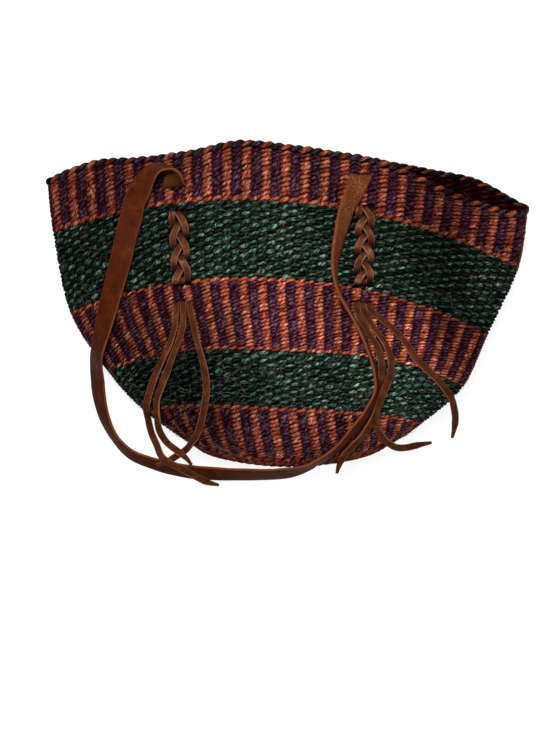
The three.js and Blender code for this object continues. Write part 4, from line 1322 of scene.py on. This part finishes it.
# %% The tails' routes
# across, up and lift, in mm from the slit
TAIL_ROUTES = {
    ("front", "left"): [
        [(-1.5, -13, 0), (-5, -27, 0.2), (-11, -40, 0.2), (-18, -55, 0.4), (-23, -69, 1), (-26.5, -82, 3),
         (-27, -94, 35), (-24.5, -107, 29), (-20, -118, 26.5), (-16, -128, 25), (-9, -134, 24.5),
         (1, -139, 21), (12, -145.5, 18), (23.5, -152, 12), (34, -155.5, 3)],
        [(0, -13, 0), (-3.5, -25.5, 0.2), (-9, -39.5, 0.2), (-13.5, -52, 0.2), (-18.5, -65, 0.2),
         (-23, -78, 0.8), (-23, -91.5, 4), (-22, -105, 42), (-16, -116, 33), (-6.5, -124, 30),
         (0.5, -130, 27), (5, -136, 24)],
        [(3.5, -13, 0), (6, -25.5, 0.2), (10.5, -40.5, 0.2), (13.5, -53.5, 0.2), (15, -67.5, 0.2),
         (13.5, -80, 0.2), (11, -93, 0.4), (7, -105.5, 1), (1, -115, 3), (-7, -124, 22), (-16, -130, 17.8),
         (-24.5, -134.5, 20.5), (-32.5, -137, 20.5)],
    ],
    ("front", "right"): [
        [(5.2, -9.3, 0), (11.5, -20, 0.2), (18.5, -31, 0.2), (21.5, -42.5, 0.2), (22, -54.5, 0.2),
         (20.5, -66, 0.2), (18.5, -77.5, 0.2), (17, -89, 0.2), (18.5, -100, 0.4), (23, -109, 2),
         (31, -116, 6), (39, -120, 30), (48.5, -120.5, 17), (59, -119, 6), (72, -117, 0)],
        [(6, -8.7, 0), (13, -18.4, 0.2), (20, -29, 0.2), (24, -39.5, 0.4), (24.5, -50, 1),
         (21.5, -60.5, 2.8), (17.5, -69.5, 3.5), (14, -79, 3.5), (10, -90, 3.3), (5, -99.5, 2),
         (-1, -109, 0.8), (-9.5, -118, 1.5), (-16, -125, 4), (-19.5, -133, 50), (-21.5, -141, 43)],
        [(13.5, -8.5, 0), (24, -18, 0.2), (33, -28.5, 0.2), (39, -38.5, 0.2), (48.5, -48.5, 0.2),
         (58, -57, 0.4), (66, -66, 0.8), (72.5, -75, 2.5), (77.5, -84.5, 30), (80.5, -94, 15), (81, -103, 4),
         (79.5, -112, 0)],
    ],
    ("back", "left"): [
        [(1, -16, 7), (6, -31, 20), (15, -44, 20), (27, -53, 20), (41, -58, 20), (55, -60, 20),
         (70, -61, 20), (84, -61, 20)],
        [(1, -13, 6), (6, -26, 20), (15, -36, 20), (27, -43, 20), (41, -47, 20), (56, -49, 20),
         (72, -49.5, 20)],
        [(1.5, -10, 5), (7, -19, 20), (16, -26.5, 20), (28, -31.5, 20), (42, -34.5, 20), (56, -35.5, 20),
         (70, -35.5, 20)],
    ],
    ("back", "right"): [
        [(-1.5, -11, 5), (-7.5, -20, 20), (-17, -27, 20), (-29, -32, 20), (-41, -34.5, 20), (-54, -35, 20)],
        [(-1, -13, 6), (-6, -26, 20), (-15, -36, 20), (-27, -43, 20), (-40, -47, 20), (-54, -48.5, 20)],
        [(0, -15, 7), (-4, -30, 20), (-12, -43, 20), (-23, -52, 20), (-36, -58, 20), (-49, -60.5, 20),
         (-62, -61, 20)],
    ],
}
print("routes:", sum(len(routes) for routes in TAIL_ROUTES.values()))

# %% Tails
TAIL_WIDTH = 6.2  # mm, limp leather flattens out beyond the slit
NARROW_STOPS = 7  # stops of a tail's path that are still as narrow as the thong
TIP = 16.0  # mm, over which a tail narrows to its end
TURNS = (16, -14, 10)  # degrees, how far each tail rolls about its length, to and fro
ROLL_STEP = 0.9  # of that roll's phase, from stop to stop

for (face, end), routes in TAIL_ROUTES.items():
    side = HANDLES[face]
    for place, route in enumerate(routes, 1):
        started, along, across = tail_starts[face, end, place]
        last = started[-1]
        points = []
        for dx, dy, lift in route:
            x, y = last[0] + dx, last[1] + dy
            points.append(np.array([x, y, under(x, y, side, -(OUTER_LIFT + lift))]))
        rolls = [TURNS[place - 1] * math.sin(ROLL_STEP * i) for i in range(len(points))]
        sides = [np.array([*across, 0])] * (len(started) - 1) + twisted_sides(points, rolls, side)
        points = [*started[:-1], *points]
        node = f"{face}_{end}_tail_{place}"
        widths = np.full(len(points), TAIL_WIDTH)
        widths[:NARROW_STOPS] = THONG_WIDTH
        tail, path = leather_ribbon(
            f"{node}_laid", side, points, sides, widths, 1.2, taper=TIP, cut=rng.uniform(0, HIDE))
        finished(tail, tail_leather, nodes=[node])

# %% [markdown]
# ## Floor and light
#
# The bag lies on a seamless pale surface under soft light that comes mostly from the upper left. The
# floor is a large plane. A little light of its own, seen only by the camera and in reflections, brings
# it to white without adding any to the bag, and the bag's shadow stays on it.

# %% Floor
FLOOR_HALF = 6.0  # metres
PAPER_GREY = 0.26  # of the light that falls on it
PAPER_GLOW = 0.86  # of white, that the camera sees on top
floor_mesh = bpy.data.meshes.new("floor")
corners = [(x * FLOOR_HALF, y * FLOOR_HALF, 0.0) for x, y in ((-1, -1), (1, -1), (1, 1), (-1, 1))]
floor_mesh.from_pydata(corners, [], [(0, 1, 2, 3)])
floor = link(bpy.data.objects.new("floor", floor_mesh))
paper = Finish("pale_paper")
paper.set(
    Base_Color=(PAPER_GREY,) * 3,
    Roughness=0.9,
    Emission_Strength=1.0,
    Emission_Color=paper.mix(paper.seen_straight(), (0, 0, 0), (PAPER_GLOW,) * 3),
)
floor_mesh.materials.append(paper.material)
print("floor:", 2 * FLOOR_HALF, "m across")

# %% Lights
STUDIO_LIGHT = 0.34  # of a white room's light falls on the bag, though the camera sees the room white
world = bpy.data.worlds.new("studio")
bpy.context.scene.world = world
world.use_nodes = True
backdrop = world.node_tree.nodes["Background"].inputs
backdrop["Color"].default_value = (1, 1, 1, 1)
studio = Nodes(world.node_tree)
studio.join(STUDIO_LIGHT + studio.seen_straight() * (1 - STUDIO_LIGHT), backdrop["Strength"])


def area_lamp(name, place, size, power):
    """A square lamp that looks at the middle of the frame."""
    lamp = bpy.data.lights.new(name, "AREA")
    lamp.size, lamp.energy = size, power
    obj = link(bpy.data.objects.new(name, lamp))
    obj.location = place
    x, y, z = place
    obj.rotation_euler = (math.atan2(math.hypot(x, y), z), 0, math.atan2(x, -y))
    return obj


lamps = [area_lamp("window_light", (-0.25, 0.4, 1.5), 0.5, 20),
         area_lamp("fill_light", (0.9, -0.8, 1.4), 1.4, 5)]
bpy.context.scene.view_settings.view_transform = "Standard"
print("lamps, W:", [lamp.data.energy for lamp in lamps])
